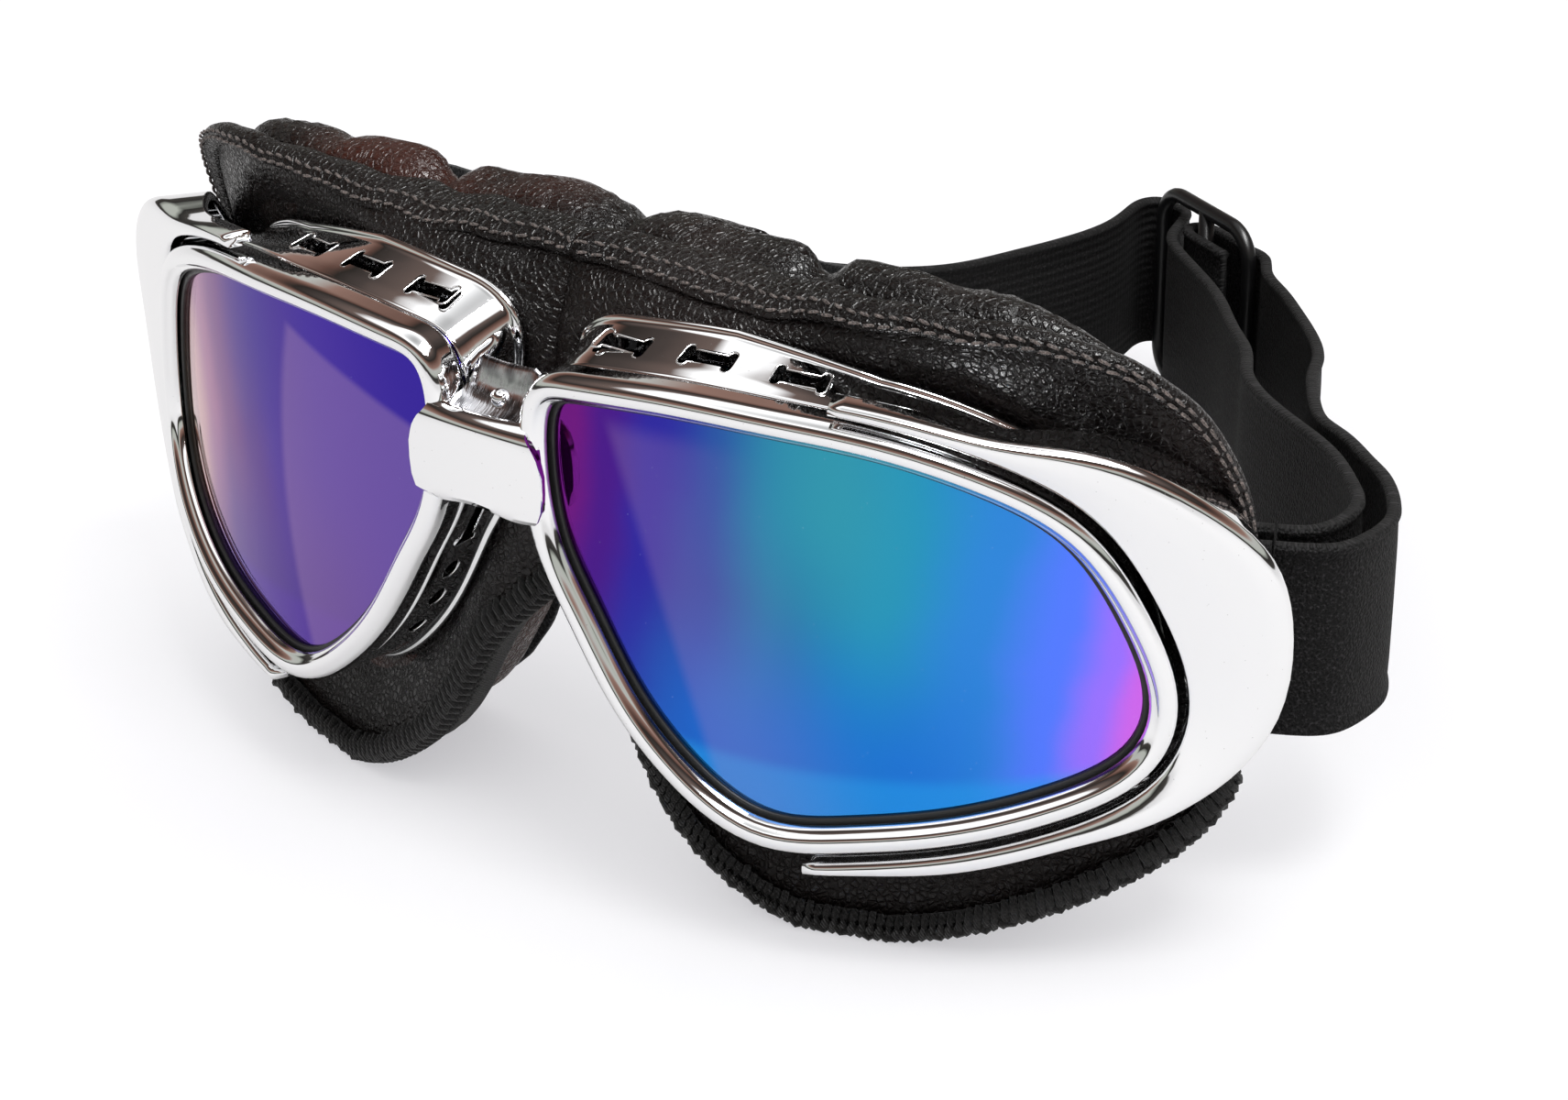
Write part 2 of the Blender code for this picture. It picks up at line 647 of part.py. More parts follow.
def cushion_front():
    """Loops just behind the leather, out to where the cushion ends."""
    leather = leather_loops()
    ways = [np.linalg.norm(loop[:, :2] - WINDOW, axis=1) for loop in leather]
    toward = (PAD_EDGE - WINDOW) / np.linalg.norm(PAD_EDGE - WINDOW, axis=1)[:, None]
    reach = smoothed([[share] for share in CUSHION_SHARES])[:, 0] * np.linalg.norm(PAD_EDGE - WINDOW, axis=1)
    beside_bracket = (WINDOW[:, 1] > bracket_levels()[0]) & (WINDOW[:, 1] < bracket_levels()[1]) & (toward[:, 0] > 0)
    room = (BRACKET_START - CUSHION_GAP - WINDOW[:, 0]) / np.where(beside_bracket, toward[:, 0], 1)
    reach = np.where(beside_bracket, np.minimum(reach, room), reach)
    lip_way = np.minimum(ways[1], reach * 0.6)
    middle_way = np.where(reach > ways[2] + CLEARANCE, ways[2], (lip_way + reach) / 2)
    loops = []
    for way in (np.minimum(ways[0], reach / 4), lip_way, middle_way, reach):
        loop = with_h(WINDOW + toward * way[:, None], 0)
        for place in range(len(loop)):
            known = [other[place] for other in ways]
            loop[place, 2] = np.interp(way[place], known, [other[place, 2] for other in leather])
        loops.append(behind(loop, LEATHER + CUSHION_GAP))
    return loops


def face_cushion(name, finish, side):
    """A padded ring with a crowned roll above, drawn in at its seam and at a sewn tuck."""
    inner, front_lip, front_middle, outer = cushion_front()
    above = np.clip((outer[:, 1] - PAD_HEIGHT / 2) / (PAD_HEIGHT / 2), 0, 1) ** 2
    tuck = TUCK_DEPTH * np.exp(-(((outer[:, 0] - TUCK_PLACE) / TUCK_WIDTH) ** 2)) * above
    crown = (with_h(BACK_EDGE, 0) + outer) / 2
    crown[:, 1] += CUSHION_CROWN * above - tuck
    crown[:, 2] = outer[:, 2] - CUSHION_MIDDLE * (outer[:, 1] / PAD_HEIGHT * 0.5 + 0.5)
    back = cushion_back(BACK_EDGE[:, 0])
    outer_back = with_h(BACK_EDGE, back + CUSHION_ROUND)
    outer_back[:, 1] -= tuck
    lid = BACK_EDGE + (OPENING - BACK_EDGE) * 0.3
    far = BACK_EDGE + (OPENING - BACK_EDGE) * 0.7
    loops = [
        inner,
        front_lip,
        front_middle,
        outer,
        crown,
        outer_back,
        with_h(lid, cushion_back(lid[:, 0]) + tuck),
        with_h(far, cushion_back(far[:, 0])),
        with_h(OPENING, cushion_back(OPENING[:, 0]) + CUSHION_ROUND),
    ]
    return ring(name, [clear_of_fold(wrapped(loop)) for loop in loops], finish, side)


def face_lining(name, finish, side):
    loops = []
    near, far = (BACK_EDGE + (OPENING - BACK_EDGE) * share for share in LINING_SHARES)
    for outline, extra in ((near, 0), (far, 0), (far, LINING_THICKNESS), (near, LINING_THICKNESS)):
        h = cushion_back(outline[:, 0]) - CLEARANCE - TUCK_WIDTH / 10 - extra
        loops.append(clear_of_fold(wrapped(with_h(outline, h))))
    return ring(name, loops, finish, side)


def edge_binding(name, finish, side):
    """The overlocked edge, an angle over the front and the lower edge of the leather."""
    first, last = (int(point * STEPS) for point in BINDING_SPAN)
    sections = []
    for place in range(first, last + 1):
        way = WINDOW[place] - PAD_EDGE[place]
        inwards = way / np.linalg.norm(way)
        h = PAD_EDGE_H[place]
        front = h + CLEARANCE + BINDING_THICKNESS
        flange = min(BINDING_HEIGHT, np.linalg.norm(way) * 0.3)
        profile = (
            (0, front),
            (flange, front + LEATHER_BULGE / 2),
            (flange, front - BINDING_THICKNESS + LEATHER_BULGE / 2),
            (BINDING_THICKNESS, h + CLEARANCE),
            (BINDING_THICKNESS, h - BINDING_DEPTH),
            (0, h - BINDING_DEPTH),
        )
        points = [(*(PAD_EDGE[place] + inwards * distance), level) for distance, level in profile]
        sections.append(clear_of_fold(wrapped(points)))
    return skin(name, sections, finish, side)


def strap_bracket(name, finish, side):
    """A plate behind the pad with two lugs for the strap bar."""
    low, high = bracket_levels()
    front = bracket_front()
    outline = [(BRACKET_START, low), (BRACKET_END, low), (BRACKET_END, high), (BRACKET_START, high)]
    made = bent_plate(name, outline, front - BRACKET_THICKNESS, front, finish, side)
    for number, z in enumerate(lug_levels()):
        start, end = BAR_S - lug_half(), BAR_S + lug_half()
        outline = [(start, z), (end, z), (end, z + LUG_HEIGHT), (start, z + LUG_HEIGHT)]
        lug = bent_plate(
            f"{name}_lug_{number}",
            outline,
            -BAR_BEHIND - LUG_BEYOND_BAR,
            front - BRACKET_THICKNESS / 2,
            finish,
            side,
        )
        combined(made, lug, "UNION")
    bore = rod(f"{name}_bore", bar_end(-1), bar_end(2), BAR_RADIUS + HOLE_CLEARANCE, finish, side)
    combined(made, bore, "DIFFERENCE")
    for level, place in BOSS_PLACES.items():
        hole = peg(
            f"{name}_{level}_hole",
            place,
            front - BOSS_RADIUS,
            front + BOSS_RADIUS,
            SCREW_RADIUS + HOLE_CLEARANCE,
            finish,
            side,
        )
        combined(made, hole, "DIFFERENCE")
        room = peg(
            f"{name}_{level}_head_room",
            place,
            -BAR_BEHIND - LUG_BEYOND_BAR - LUG_WALL,
            front - BRACKET_THICKNESS - CLEARANCE / 2,
            SCREW_HEAD_RADIUS + HOLE_CLEARANCE,
            finish,
            side,
        )
        combined(made, room, "DIFFERENCE")
    return made


def bracket_front():
    return -FRAME_DEPTH - LEATHER - 2 * CLEARANCE


def bracket_levels():
    """The bracket's lower and upper edge, past both lugs and both screws."""
    lower_lug, upper_lug = lug_levels()
    screws = [z for _, z in BOSS_PLACES.values()]
    round_screw = SCREW_HEAD_RADIUS + HOLE_CLEARANCE
    low = min(lower_lug - BRACKET_MARGIN, min(screws) - round_screw)
    return (low, max(upper_lug + LUG_HEIGHT + BRACKET_MARGIN, max(screws) + round_screw))


def lug_half():
    """Half a lug's width along the face, which leaves its wall beside the bar's bore at the bar's depth."""
    return (BAR_RADIUS + HOLE_CLEARANCE + LUG_WALL) * WRAP_RADIUS / (WRAP_RADIUS - BAR_BEHIND)


def lug_levels():
    lower = STRAP_HEIGHT_AT_TEMPLE - STRAP_WIDTH / 2 - LUG_HEIGHT - CLEARANCE
    upper = STRAP_HEIGHT_AT_TEMPLE + STRAP_WIDTH / 2 + CLEARANCE
    return (lower, upper)


def bar_end(share):
    """A point of the strap bar's axis, from its lower end at zero to its upper end at one."""
    low, high = lug_levels()[0], lug_levels()[1] + LUG_HEIGHT
    return wrapped((BAR_S, low + (high - low) * share, -BAR_BEHIND))


def strap_bar(name, finish, side):
    return rod(name, bar_end(0), bar_end(1), BAR_RADIUS, finish, side)


def cover_screw(name, place, finish, side):
    under_head = bracket_front() - BRACKET_THICKNESS - CLEARANCE
    made = peg(name, place, under_head - SCREW_HEAD / 2, -SCREW_TIP, SCREW_RADIUS, finish, side)
    head = peg(f"{name}_head", place, under_head - SCREW_HEAD, under_head, SCREW_HEAD_RADIUS, finish, side)
    combined(made, head, "UNION")
    return made


def nose_leather(name, finish):
    """The leather between the eyecups, from the arch over the nose up to the seam."""
    rows = []
    for height_share, half_share, depth_share in NOSE_ROW_SHARES:
        half, depth = half_share * NOSE_HALF, depth_share * PAD_DEPTH
        for column_share in NOSE_COLUMN_SHARES:
            drop = ARCH_RISE * abs(column_share) * (height_share < 0.5)
            rows.append((half * column_share, FACE_Y + depth, PAD_HEIGHT * height_share - drop))
    columns = len(NOSE_COLUMN_SHARES)
    front = np.array(rows).reshape(-1, columns, 3)
    sections = []
    for column in range(columns):
        face = front[:, column]
        sections.append(np.concatenate((face, face[::-1] + (0, LEATHER, 0))))
    return skin(name, sections, finish)


def brow_pad(name, finish):
    """The middle of the padded roll, gathered in at the goggles' middle."""
    sections = []
    for station_share in ROLL_STATION_SHARES:
        gathered = ROLL_TUCK * (1 - abs(station_share))
        section = []
        for depth_share, height_share in ROLL_SECTION_SHARES:
            y = FACE_Y + PAD_DEPTH + ROLL_GAP + depth_share * ROLL_DEPTH
            x = station_share * (fold_limit(y) - 2 * CLEARANCE)
            low = PAD_HEIGHT + ROLL_ABOVE_SEAM - ROLL_HEIGHT
            section.append((x, y, low + height_share * (ROLL_HEIGHT - gathered)))
        sections.append(section)
    return skin(name, sections, finish)


def bridge_saddle(name, finish):
    """The block between the bezels, the barrels of both hinges and the tongue above them."""
    front, back = FACE_Y - SADDLE_FRONT, FACE_Y + SADDLE_BACK
    made = box(name, (-SADDLE_HALF, front, SADDLE_LOW), (SADDLE_HALF, back, saddle_top()), finish)
    barrel_low = KNUCKLE_LOW + KNUCKLE_HEIGHT + CLEARANCE
    barrel_top = barrel_low + BARREL_HEIGHT
    web = box(f"{name}_web", (-HINGE_X, back - CLEARANCE, barrel_low), (HINGE_X, HINGE_Y, barrel_top), finish)
    combined(made, web, "UNION")
    for side_name, side in SIDES.items():
        barrel = rod(
            f"{name}_barrel_{side_name}",
            (HINGE_X, HINGE_Y, barrel_low),
            (HINGE_X, HINGE_Y, barrel_top),
            KNUCKLE_RADIUS,
            finish,
            side,
        )
        combined(made, barrel, "UNION")
    reach = FACE_Y + TONGUE_REACH
    tongue_start = (-TONGUE_HALF, front + CLEARANCE, saddle_top() - TONGUE_THICKNESS)
    tongue = box(f"{name}_tongue", tongue_start, (TONGUE_HALF, reach, saddle_top()), finish)
    combined(made, tongue, "UNION")
    for side_name, side in SIDES.items():
        bore = rod(
            f"{name}_bore_{side_name}",
            (HINGE_X, HINGE_Y, KNUCKLE_LOW),
            (HINGE_X, HINGE_Y, pin_top()),
            PIN_RADIUS + HOLE_CLEARANCE,
            finish,
            side,
        )
        combined(made, bore, "DIFFERENCE")
    hole_start, hole_end = (0, front - SADDLE_BACK, stud_z()), (0, stud_end(), stud_z())
    hole = rod(f"{name}_stud_hole", hole_start, hole_end, STUD_RADIUS + HOLE_CLEARANCE, finish)
    combined(made, hole, "DIFFERENCE")
    return made


def saddle_top():
    return pin_top() + PIN_HEAD + 2 * CLEARANCE + TONGUE_THICKNESS


def stud_end():
    return FACE_Y + SADDLE_BACK - FRAME_WALL / 2


def stud_z():
    return SADDLE_LOW + (saddle_top() - SADDLE_LOW) * STUD_HEIGHT_SHARE


def bridge_cover(name, finish):
    """A slightly crowned plate with rounded sides over the saddle and the ends of both bezels."""
    back = FACE_Y - PLATE_GAP
    middle = PLATE_LOW + PLATE_HEIGHT / 2
    half_height = PLATE_HEIGHT / 2
    corner = PLATE_HEIGHT * PLATE_CORNER_SHARE
    outline = []
    for quarter, (across, up) in enumerate(((1, 1), (-1, 1), (-1, -1), (1, -1))):
        for step in range(STEPS + 2):
            angle = math.radians(90) * (quarter + step / (STEPS + 1))
            x = across * (PLATE_HALF - corner / 2) + corner / 2 * math.cos(angle)
            z = up * (half_height - corner) + corner * math.sin(angle)
            outline.append((x, z))
    outline = np.array(outline)
    sections = []
    for inset_share, forward in ((1, 0), (1, 0.55), (0.9, 1), (0.5, 1)):
        y = back - forward * PLATE_THICKNESS
        sections.append([(x * inset_share, y, middle + z * inset_share) for x, z in outline])
    return skin(name, sections, finish)


def cover_stud(name, finish):
    start = FACE_Y - PLATE_GAP + CLEARANCE
    return rod(name, (0, start, stud_z()), (0, stud_end() - CLEARANCE, stud_z()), STUD_RADIUS, finish)


def bridge_rivet(name, finish):
    """The small round head on the saddle's tongue."""
    y = FACE_Y + TONGUE_REACH - RIVET_RADIUS * 2
    start = saddle_top() + CLEARANCE
    return rod(name, (0, y, start), (0, y, start + RIVET_HEIGHT), RIVET_RADIUS, finish, segments=12)


BAR_AT = wrapped((BAR_S, 0, -BAR_BEHIND))[:2]
LOOP_RADIUS = BAR_RADIUS + CLEARANCE + STRAP_THICKNESS / 2
LEG_WAY = np.array((math.cos(LEG_TURN), math.sin(LEG_TURN)))
LEG_OUT = np.array((math.sin(LEG_TURN), -math.cos(LEG_TURN)))
SLIDER_AT = np.array((SLIDER_X, SLIDER_BACK + FACE_Y))
SLIDER_WAY = np.array((math.cos(SLIDER_TURN), math.sin(SLIDER_TURN)))
SLIDER_OUT = np.array((SLIDER_WAY[1], -SLIDER_WAY[0]))
SLIDER_MIDDLE = SLIDER_HEIGHT / 2
PASS = SLIDER_THICKNESS / 2 + CLEARANCE + STRAP_THICKNESS / 2


def from_slider(along, out):
    return SLIDER_AT + SLIDER_WAY * along + SLIDER_OUT * out


def band(name, route, start_z, end_z, finish, side=1):
    """A strap on edge along a route seen from above, with its middle height easing from one end to the other."""
    route = np.asarray(route, float)
    along = np.gradient(route, axis=0)
    along /= np.linalg.norm(along, axis=1)[:, None]
    out = np.stack((along[:, 1], -along[:, 0]), -1) * STRAP_THICKNESS / 2
    steps = np.linalg.norm(np.diff(route, axis=0), axis=1)
    share = np.concatenate(([0], np.cumsum(steps))) / steps.sum()
    middle = start_z + (end_z - start_z) * share**2 * (3 - 2 * share)
    sections = []
    for point, offset, z in zip(route, out, middle):
        low, high = z - STRAP_WIDTH / 2, z + STRAP_WIDTH / 2
        sections.append([(*(point + offset), low), (*(point + offset), high), (*(point - offset), high),
                         (*(point - offset), low)])
    return skin(name, sections, finish, side)


def strap_end(name, finish, side):
    """The strap's fold round the bar behind a temple cover."""
    legs = (BAR_AT + LEG_WAY * STRAP_LEG + LEG_OUT * LOOP_RADIUS, BAR_AT + LEG_WAY * STRAP_LEG - LEG_OUT * LOOP_RADIUS)
    bend = []
    for step in range(LOOP_STEPS + 1):
        angle = math.pi * step / LOOP_STEPS
        bend.append(BAR_AT + (LEG_OUT * math.cos(angle) - LEG_WAY * math.sin(angle)) * LOOP_RADIUS)
    return band(name, [legs[0], *bend, legs[1]], STRAP_HEIGHT_AT_TEMPLE, STRAP_HEIGHT_AT_TEMPLE, finish, side)


def leg_end(out, side=1):
    place = BAR_AT + LEG_WAY * (STRAP_LEG + CLEARANCE) + LEG_OUT * LOOP_RADIUS * out
    return place * (side, 1)


def placed(shares, start, end):
    """Places seen from above, from their shares along and across the way between two places."""
    along = end - start
    across = np.array((-along[1], along[0]))
    return [start + along * along_share + across * across_share for along_share, across_share in shares]


def strap_outer_run(name, finish):
    near_end = from_slider(-SEWN_LEG - STRAP_WIDTH / 6, PASS)
    start, end = leg_end(1), from_slider(-SEWN_LEG - CLEARANCE, PASS)
    route = [start, start + LEG_WAY * STRAP_THICKNESS, *placed(OUTER_ROUTE_SHARES, start, near_end), near_end, end]
    return band(name, smoothed(route, closed=False), STRAP_HEIGHT_AT_TEMPLE, SLIDER_MIDDLE, finish)


def strap_inner_run(name, finish):
    """The run that passes inside the slider's middle bar and outside its end bar."""
    below = PASS + STRAP_THICKNESS + 2 * CLEARANCE
    last = SLIDER_LENGTH / 2
    slot = last - SLIDER_BAR
    start = leg_end(-1)
    ends = [
        from_slider(SLIDER_BAR / 2 + CLEARANCE, -below),
        from_slider(slot - CLEARANCE, PASS),
        from_slider(last - SLIDER_BAR / 2, PASS),
        from_slider(last + CLEARANCE, PASS),
    ]
    route = [start, start + LEG_WAY * STRAP_THICKNESS, *placed(INNER_ROUTE_SHARES, start, ends[0]), *ends]
    return band(name, smoothed(route, closed=False), STRAP_HEIGHT_AT_TEMPLE, SLIDER_MIDDLE, finish)


def strap_rear_run(name, finish):
    start, end = from_slider(SLIDER_LENGTH / 2 + 2 * CLEARANCE, PASS), leg_end(1, side=-1)
    before = end + LEG_WAY * (-1, 1) * STRAP_THICKNESS
    route = [start, *placed(REAR_ROUTE_SHARES, start, end), before, end]
    return band(name, smoothed(route, closed=False), SLIDER_MIDDLE, STRAP_HEIGHT_AT_TEMPLE, finish)


def strap_sewn_end(name, finish):
    """The outer run's sewn end round the slider's middle bar."""
    legs = (from_slider(-SEWN_LEG, PASS), from_slider(-SEWN_LEG, -PASS))
    bend = []
    reach = max(PASS, SLIDER_BAR / 2 + 3 * CLEARANCE + STRAP_THICKNESS / 2)
    for step in range(LOOP_STEPS + 1):
        angle = math.pi * step / LOOP_STEPS
        bend.append(from_slider(reach * math.sin(angle), PASS * math.cos(angle)))
    return band(name, [legs[0], *bend, legs[1]], SLIDER_MIDDLE, SLIDER_MIDDLE, finish)


def strap_slider(name, finish):
    """A frame with two slots either side of a middle bar."""
    bm = bmesh.new()
    bmesh.ops.create_cube(bm, size=1)
    for vert in bm.verts:
        vert.co = (vert.co.x * SLIDER_LENGTH, vert.co.y * SLIDER_THICKNESS, vert.co.z * SLIDER_HEIGHT)
    bmesh.ops.bevel(
        bm, geom=bm.edges[:], offset=SLIDER_BEVEL, segments=1, affect="EDGES"
    )
    made = scene_object(name, bm, finish)
    slot = SLIDER_LENGTH / 2 - SLIDER_BAR * 1.5
    slot_height = SLIDER_HEIGHT - 2 * SLIDER_RAIL
    for number, side in enumerate((-1, 1)):
        middle = side * (SLIDER_BAR + slot) / 2
        low = (middle - slot / 2, -SLIDER_THICKNESS, -slot_height / 2)
        high = (middle + slot / 2, SLIDER_THICKNESS, slot_height / 2)
        cutter = box(f"{name}_slot_{number}", low, high, finish)
        cutter.parent = made
        combined(made, cutter, "DIFFERENCE")
    made.location = (*SLIDER_AT, SLIDER_MIDDLE)
    made.rotation_euler.z = SLIDER_TURN
    return made


def pivot(name, place):
    """An empty on a joint's axis, to carry a moving body."""
    made = bpy.data.objects.new(name, None)
    made.empty_display_size = KNUCKLE_RADIUS
    made.location = place
    bpy.context.scene.collection.objects.link(made)
    return made


def carried(parent, children):
    bpy.context.view_layer.update()
    for child in children:
        child.parent = parent
        child.matrix_parent_inverse = parent.matrix_world.inverted()


def half(side_name, side, finishes):
    """Every piece of one half, hung on its hinge."""
    chrome, black, steel = finishes["chrome"], finishes["black"], finishes["steel"]
    pieces = [
        lens(f"lens_{side_name}", finishes["lens"], side),
        gasket(f"lens_gasket_{side_name}", finishes["rubber"], side),
        bezel(f"lens_bezel_{side_name}", chrome, side),
        eyecup_frame(f"eyecup_frame_{side_name}", chrome, side),
        temple_cover(f"temple_cover_{side_name}", chrome, side),
        leather_skirt(f"leather_skirt_{side_name}", finishes["leather"], side),
        face_cushion(f"face_cushion_{side_name}", finishes["leather"], side),
        face_lining(f"face_lining_{side_name}", finishes["lining"], side),
        edge_binding(f"edge_binding_{side_name}", finishes["thread"], side),
        strap_bracket(f"strap_bracket_{side_name}", black, side),
        strap_bar(f"strap_bar_{side_name}", steel, side),
        strap_end(f"strap_end_{side_name}", finishes["elastic"], side),
    ]
    for level, place in BOSS_PLACES.items():
        pieces.append(cover_screw(f"cover_screw_{level}_{side_name}", place, steel, side))
    carried(pivot(f"{side_name}_hinge", (side * HINGE_X, HINGE_Y, 0)), pieces)


def bridge(finishes):
    """The pieces in the middle, which stay where they are."""
    chrome, leather, elastic = finishes["chrome"], finishes["leather"], finishes["elastic"]
    bridge_saddle("bridge_saddle", chrome)
    bridge_cover("bridge_cover", chrome)
    cover_stud("cover_stud", finishes["steel"])
    bridge_rivet("bridge_rivet", finishes["steel"])
    for side_name, side in SIDES.items():
        hinge_pin(f"hinge_pin_{side_name}", finishes["steel"], side)
    nose_leather("nose_leather", leather)
    brow_pad("brow_pad", leather)
    strap_outer_run("strap_outer_run", elastic)
    strap_inner_run("strap_inner_run", elastic)
    strap_rear_run("strap_rear_run", elastic)


def main():
    for old in list(bpy.data.objects):
        bpy.data.objects.remove(old)
    finishes = {
        "chrome": material("chrome", (0.83, 0.84, 0.86), 0.06, 1.0),
        "lens": material("mirrored_lens", (0.05, 0.16, 0.62), 0.05, 0.85),
        "rubber": material("black_rubber", (0.012, 0.012, 0.013), 0.6),
        "leather": material("black_leather", (0.022, 0.019, 0.018), 0.45),
        "lining": material("black_fleece", (0.02, 0.02, 0.021), 0.95),
        "thread": material("black_thread", (0.03, 0.028, 0.028), 0.75),
        "elastic": material("black_elastic", (0.02, 0.02, 0.022), 0.85),
        "black": material("black_nylon", (0.015, 0.015, 0.017), 0.35),
        "steel": material("steel", (0.62, 0.62, 0.62), 0.3, 1.0),
    }
    for side_name, side in SIDES.items():
        half(side_name, side, finishes)
    bridge(finishes)
    sliding = [
        strap_slider("strap_slider", finishes["black"]),
        strap_sewn_end("strap_sewn_end", finishes["elastic"]),
    ]
    carried(pivot("slider_rest", (*SLIDER_AT, SLIDER_MIDDLE)), sliding)


main()
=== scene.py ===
"""Looks for riding goggles: two mirror lenses in chromed eyecups, a black leather pad and an elastic strap.

Metres, +Z up, in the frame of the solids. The wearer's left is +X and the face looks along -Y. A place on the wrapped
face is (s, z, h): s along it from the middle, z up, and h out from it, so what lies behind the face has h below 0.
"""

import math

import bmesh
import bpy
import numpy as np
from mathutils import Matrix, Vector, noise


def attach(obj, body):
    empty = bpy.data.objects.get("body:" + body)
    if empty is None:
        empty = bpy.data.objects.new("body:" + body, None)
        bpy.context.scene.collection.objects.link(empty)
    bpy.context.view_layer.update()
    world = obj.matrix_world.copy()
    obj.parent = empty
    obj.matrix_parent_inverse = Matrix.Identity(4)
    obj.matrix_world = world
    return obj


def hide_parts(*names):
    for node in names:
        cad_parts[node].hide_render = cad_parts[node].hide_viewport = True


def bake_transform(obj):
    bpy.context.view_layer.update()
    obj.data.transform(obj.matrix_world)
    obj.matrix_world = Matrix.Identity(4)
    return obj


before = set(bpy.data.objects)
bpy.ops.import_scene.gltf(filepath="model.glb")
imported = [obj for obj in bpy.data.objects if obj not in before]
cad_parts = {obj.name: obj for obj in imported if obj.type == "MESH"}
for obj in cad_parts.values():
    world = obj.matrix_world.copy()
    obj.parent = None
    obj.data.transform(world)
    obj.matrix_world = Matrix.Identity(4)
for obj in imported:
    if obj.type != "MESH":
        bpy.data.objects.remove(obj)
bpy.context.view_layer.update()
SIDES = {"left": 1, "right": -1}


def look():
    """Stands the camera where the photographer stood, as found from points that both halves share."""
    azimuth, elevation, roll = math.radians(36.35), math.radians(25.579), math.radians(-0.496)
    level = math.cos(elevation)
    forward = Vector((-math.sin(azimuth) * level, math.cos(azimuth) * level, -math.sin(elevation)))
    across = Vector((math.cos(azimuth), math.sin(azimuth), 0))
    up = across.cross(forward)
    turned_across = across * math.cos(roll) + up * math.sin(roll)
    turned_up = up * math.cos(roll) - across * math.sin(roll)
    camera = bpy.data.objects.new("camera", bpy.data.cameras.new("camera"))
    camera.data.lens, camera.data.sensor_width = 81.09, 36
    camera.data.clip_start, camera.data.clip_end = 0.01, 20
    turn = Matrix((turned_across, turned_up, -forward)).transposed()
    camera.matrix_world = Matrix.Translation((0.25199, -0.37689, 0.22583)) @ turn.to_4x4()
    bpy.context.scene.collection.objects.link(camera)
    bpy.context.scene.camera = camera


look()


# Sizes of the solids, which the looks follow. Outlines run round the window, and each has as many places as it.
STEPS = 8
FLAT_HALF, WRAP_RADIUS, FACE_Y = 0.0106, 0.104, -0.0939
WINDOW_START, WINDOW_LENGTH, WINDOW_LOW, WINDOW_HEIGHT = 0.0092, 0.0735, 0.0195, 0.0488
WINDOW_SHARES = (
    (0.0, 0.891), (0.019, 0.965), (0.065, 0.983), (0.224, 1.0), (0.414, 0.991), (0.574, 0.965), (0.729, 0.898),
    (0.861, 0.784), (0.953, 0.584), (1.0, 0.372), (0.969, 0.239), (0.852, 0.139), (0.685, 0.06), (0.527, 0.013),
    (0.378, 0.0), (0.242, 0.12), (0.148, 0.277), (0.075, 0.458), (0.016, 0.635),
)
BEZEL_WIDTH, BEZEL_LIP, BEZEL_DEPTH = 0.0036, 0.0014, 0.0042
FRAME_FRONT, FRAME_WAIST, FRAME_LIP, FRAME_DEPTH = 0.0048, 0.0066, 0.0052, 0.0139
PAD_START, PAD_LENGTH, PAD_HEIGHT, PAD_DEPTH = 0.0052, 0.0932, 0.079, 0.0216
PAD_SHARES = (
    (0.094, 0.998, 0.97), (0.223, 0.99, 0.945), (0.374, 0.995, 0.815), (0.549, 0.999, 0.624), (0.722, 0.989, 0.448),
    (0.859, 0.92, 0.40), (0.973, 0.746, 0.516), (1.0, 0.591, 0.574), (0.999, 0.309, 0.536), (0.884, 0.157, 0.474),
    (0.642, 0.048, 0.41), (0.495, 0.0, 0.49), (0.369, 0.0, 0.5), (0.226, 0.072, 0.5), (0.132, 0.176, 0.525),
    (0.057, 0.317, 0.575),
)
ARCH_X, ARCH_Z, ARCH_DEPTH_SHARE, NOSE_Z = 0.0008, 0.0348, 0.73, 0.056
CUSHION_SHARES = (
    0.9, 0.93, 0.94, 0.93, 0.95, 0.95, 0.95, 0.86, 0.5, 0.32, 0.34, 0.66, 0.9, 0.91, 0.91, 0.9, 0.88, 0.87, 0.85,
)
BACK_START, BACK_LENGTH, BACK_LOW, BACK_HEIGHT = 0.0155, 0.0695, 0.0035, 0.074
BACK_SHARES = (
    (0.014, 0.791), (0.0, 0.98), (0.049, 1.0), (0.189, 1.0), (0.371, 1.0), (0.58, 0.986), (0.776, 0.939),
    (0.93, 0.845), (1.0, 0.709), (1.0, 0.52), (0.986, 0.318), (0.902, 0.142), (0.706, 0.034), (0.51, 0.0),
    (0.357, 0.0), (0.203, 0.074), (0.098, 0.182), (0.035, 0.318), (0.014, 0.52),
)
BACK_DEPTH_AT_NOSE, BACK_DEPTH_AT_TEMPLE = 0.0366, 0.0246
OPENING_START, OPENING_LENGTH, OPENING_LOW, OPENING_HEIGHT = 0.0265, 0.0535, 0.0185, 0.048
OPENING_SHARES = (
    (0.009, 0.823), (0.009, 0.948), (0.065, 0.99), (0.178, 1.0), (0.346, 1.0), (0.533, 0.99), (0.72, 0.938),
    (0.869, 0.823), (0.963, 0.635), (1.0, 0.438), (0.963, 0.26), (0.832, 0.135), (0.626, 0.042), (0.421, 0.0),
    (0.271, 0.01), (0.159, 0.094), (0.065, 0.24), (0.009, 0.427), (0.0, 0.635),
)
COVER_POINT, COVER_REACH, COVER_FLARE, COVER_DEPTH, COVER_SHELL = 4, 0.0196, 0.0038, 0.0112, 0.0014
COVER_REACH_SHARES = (0.311, 0.317, 0.345, 0.65, 1.0, 0.8, 0.462, 0.366, 0.378, 0.329, 0.307)
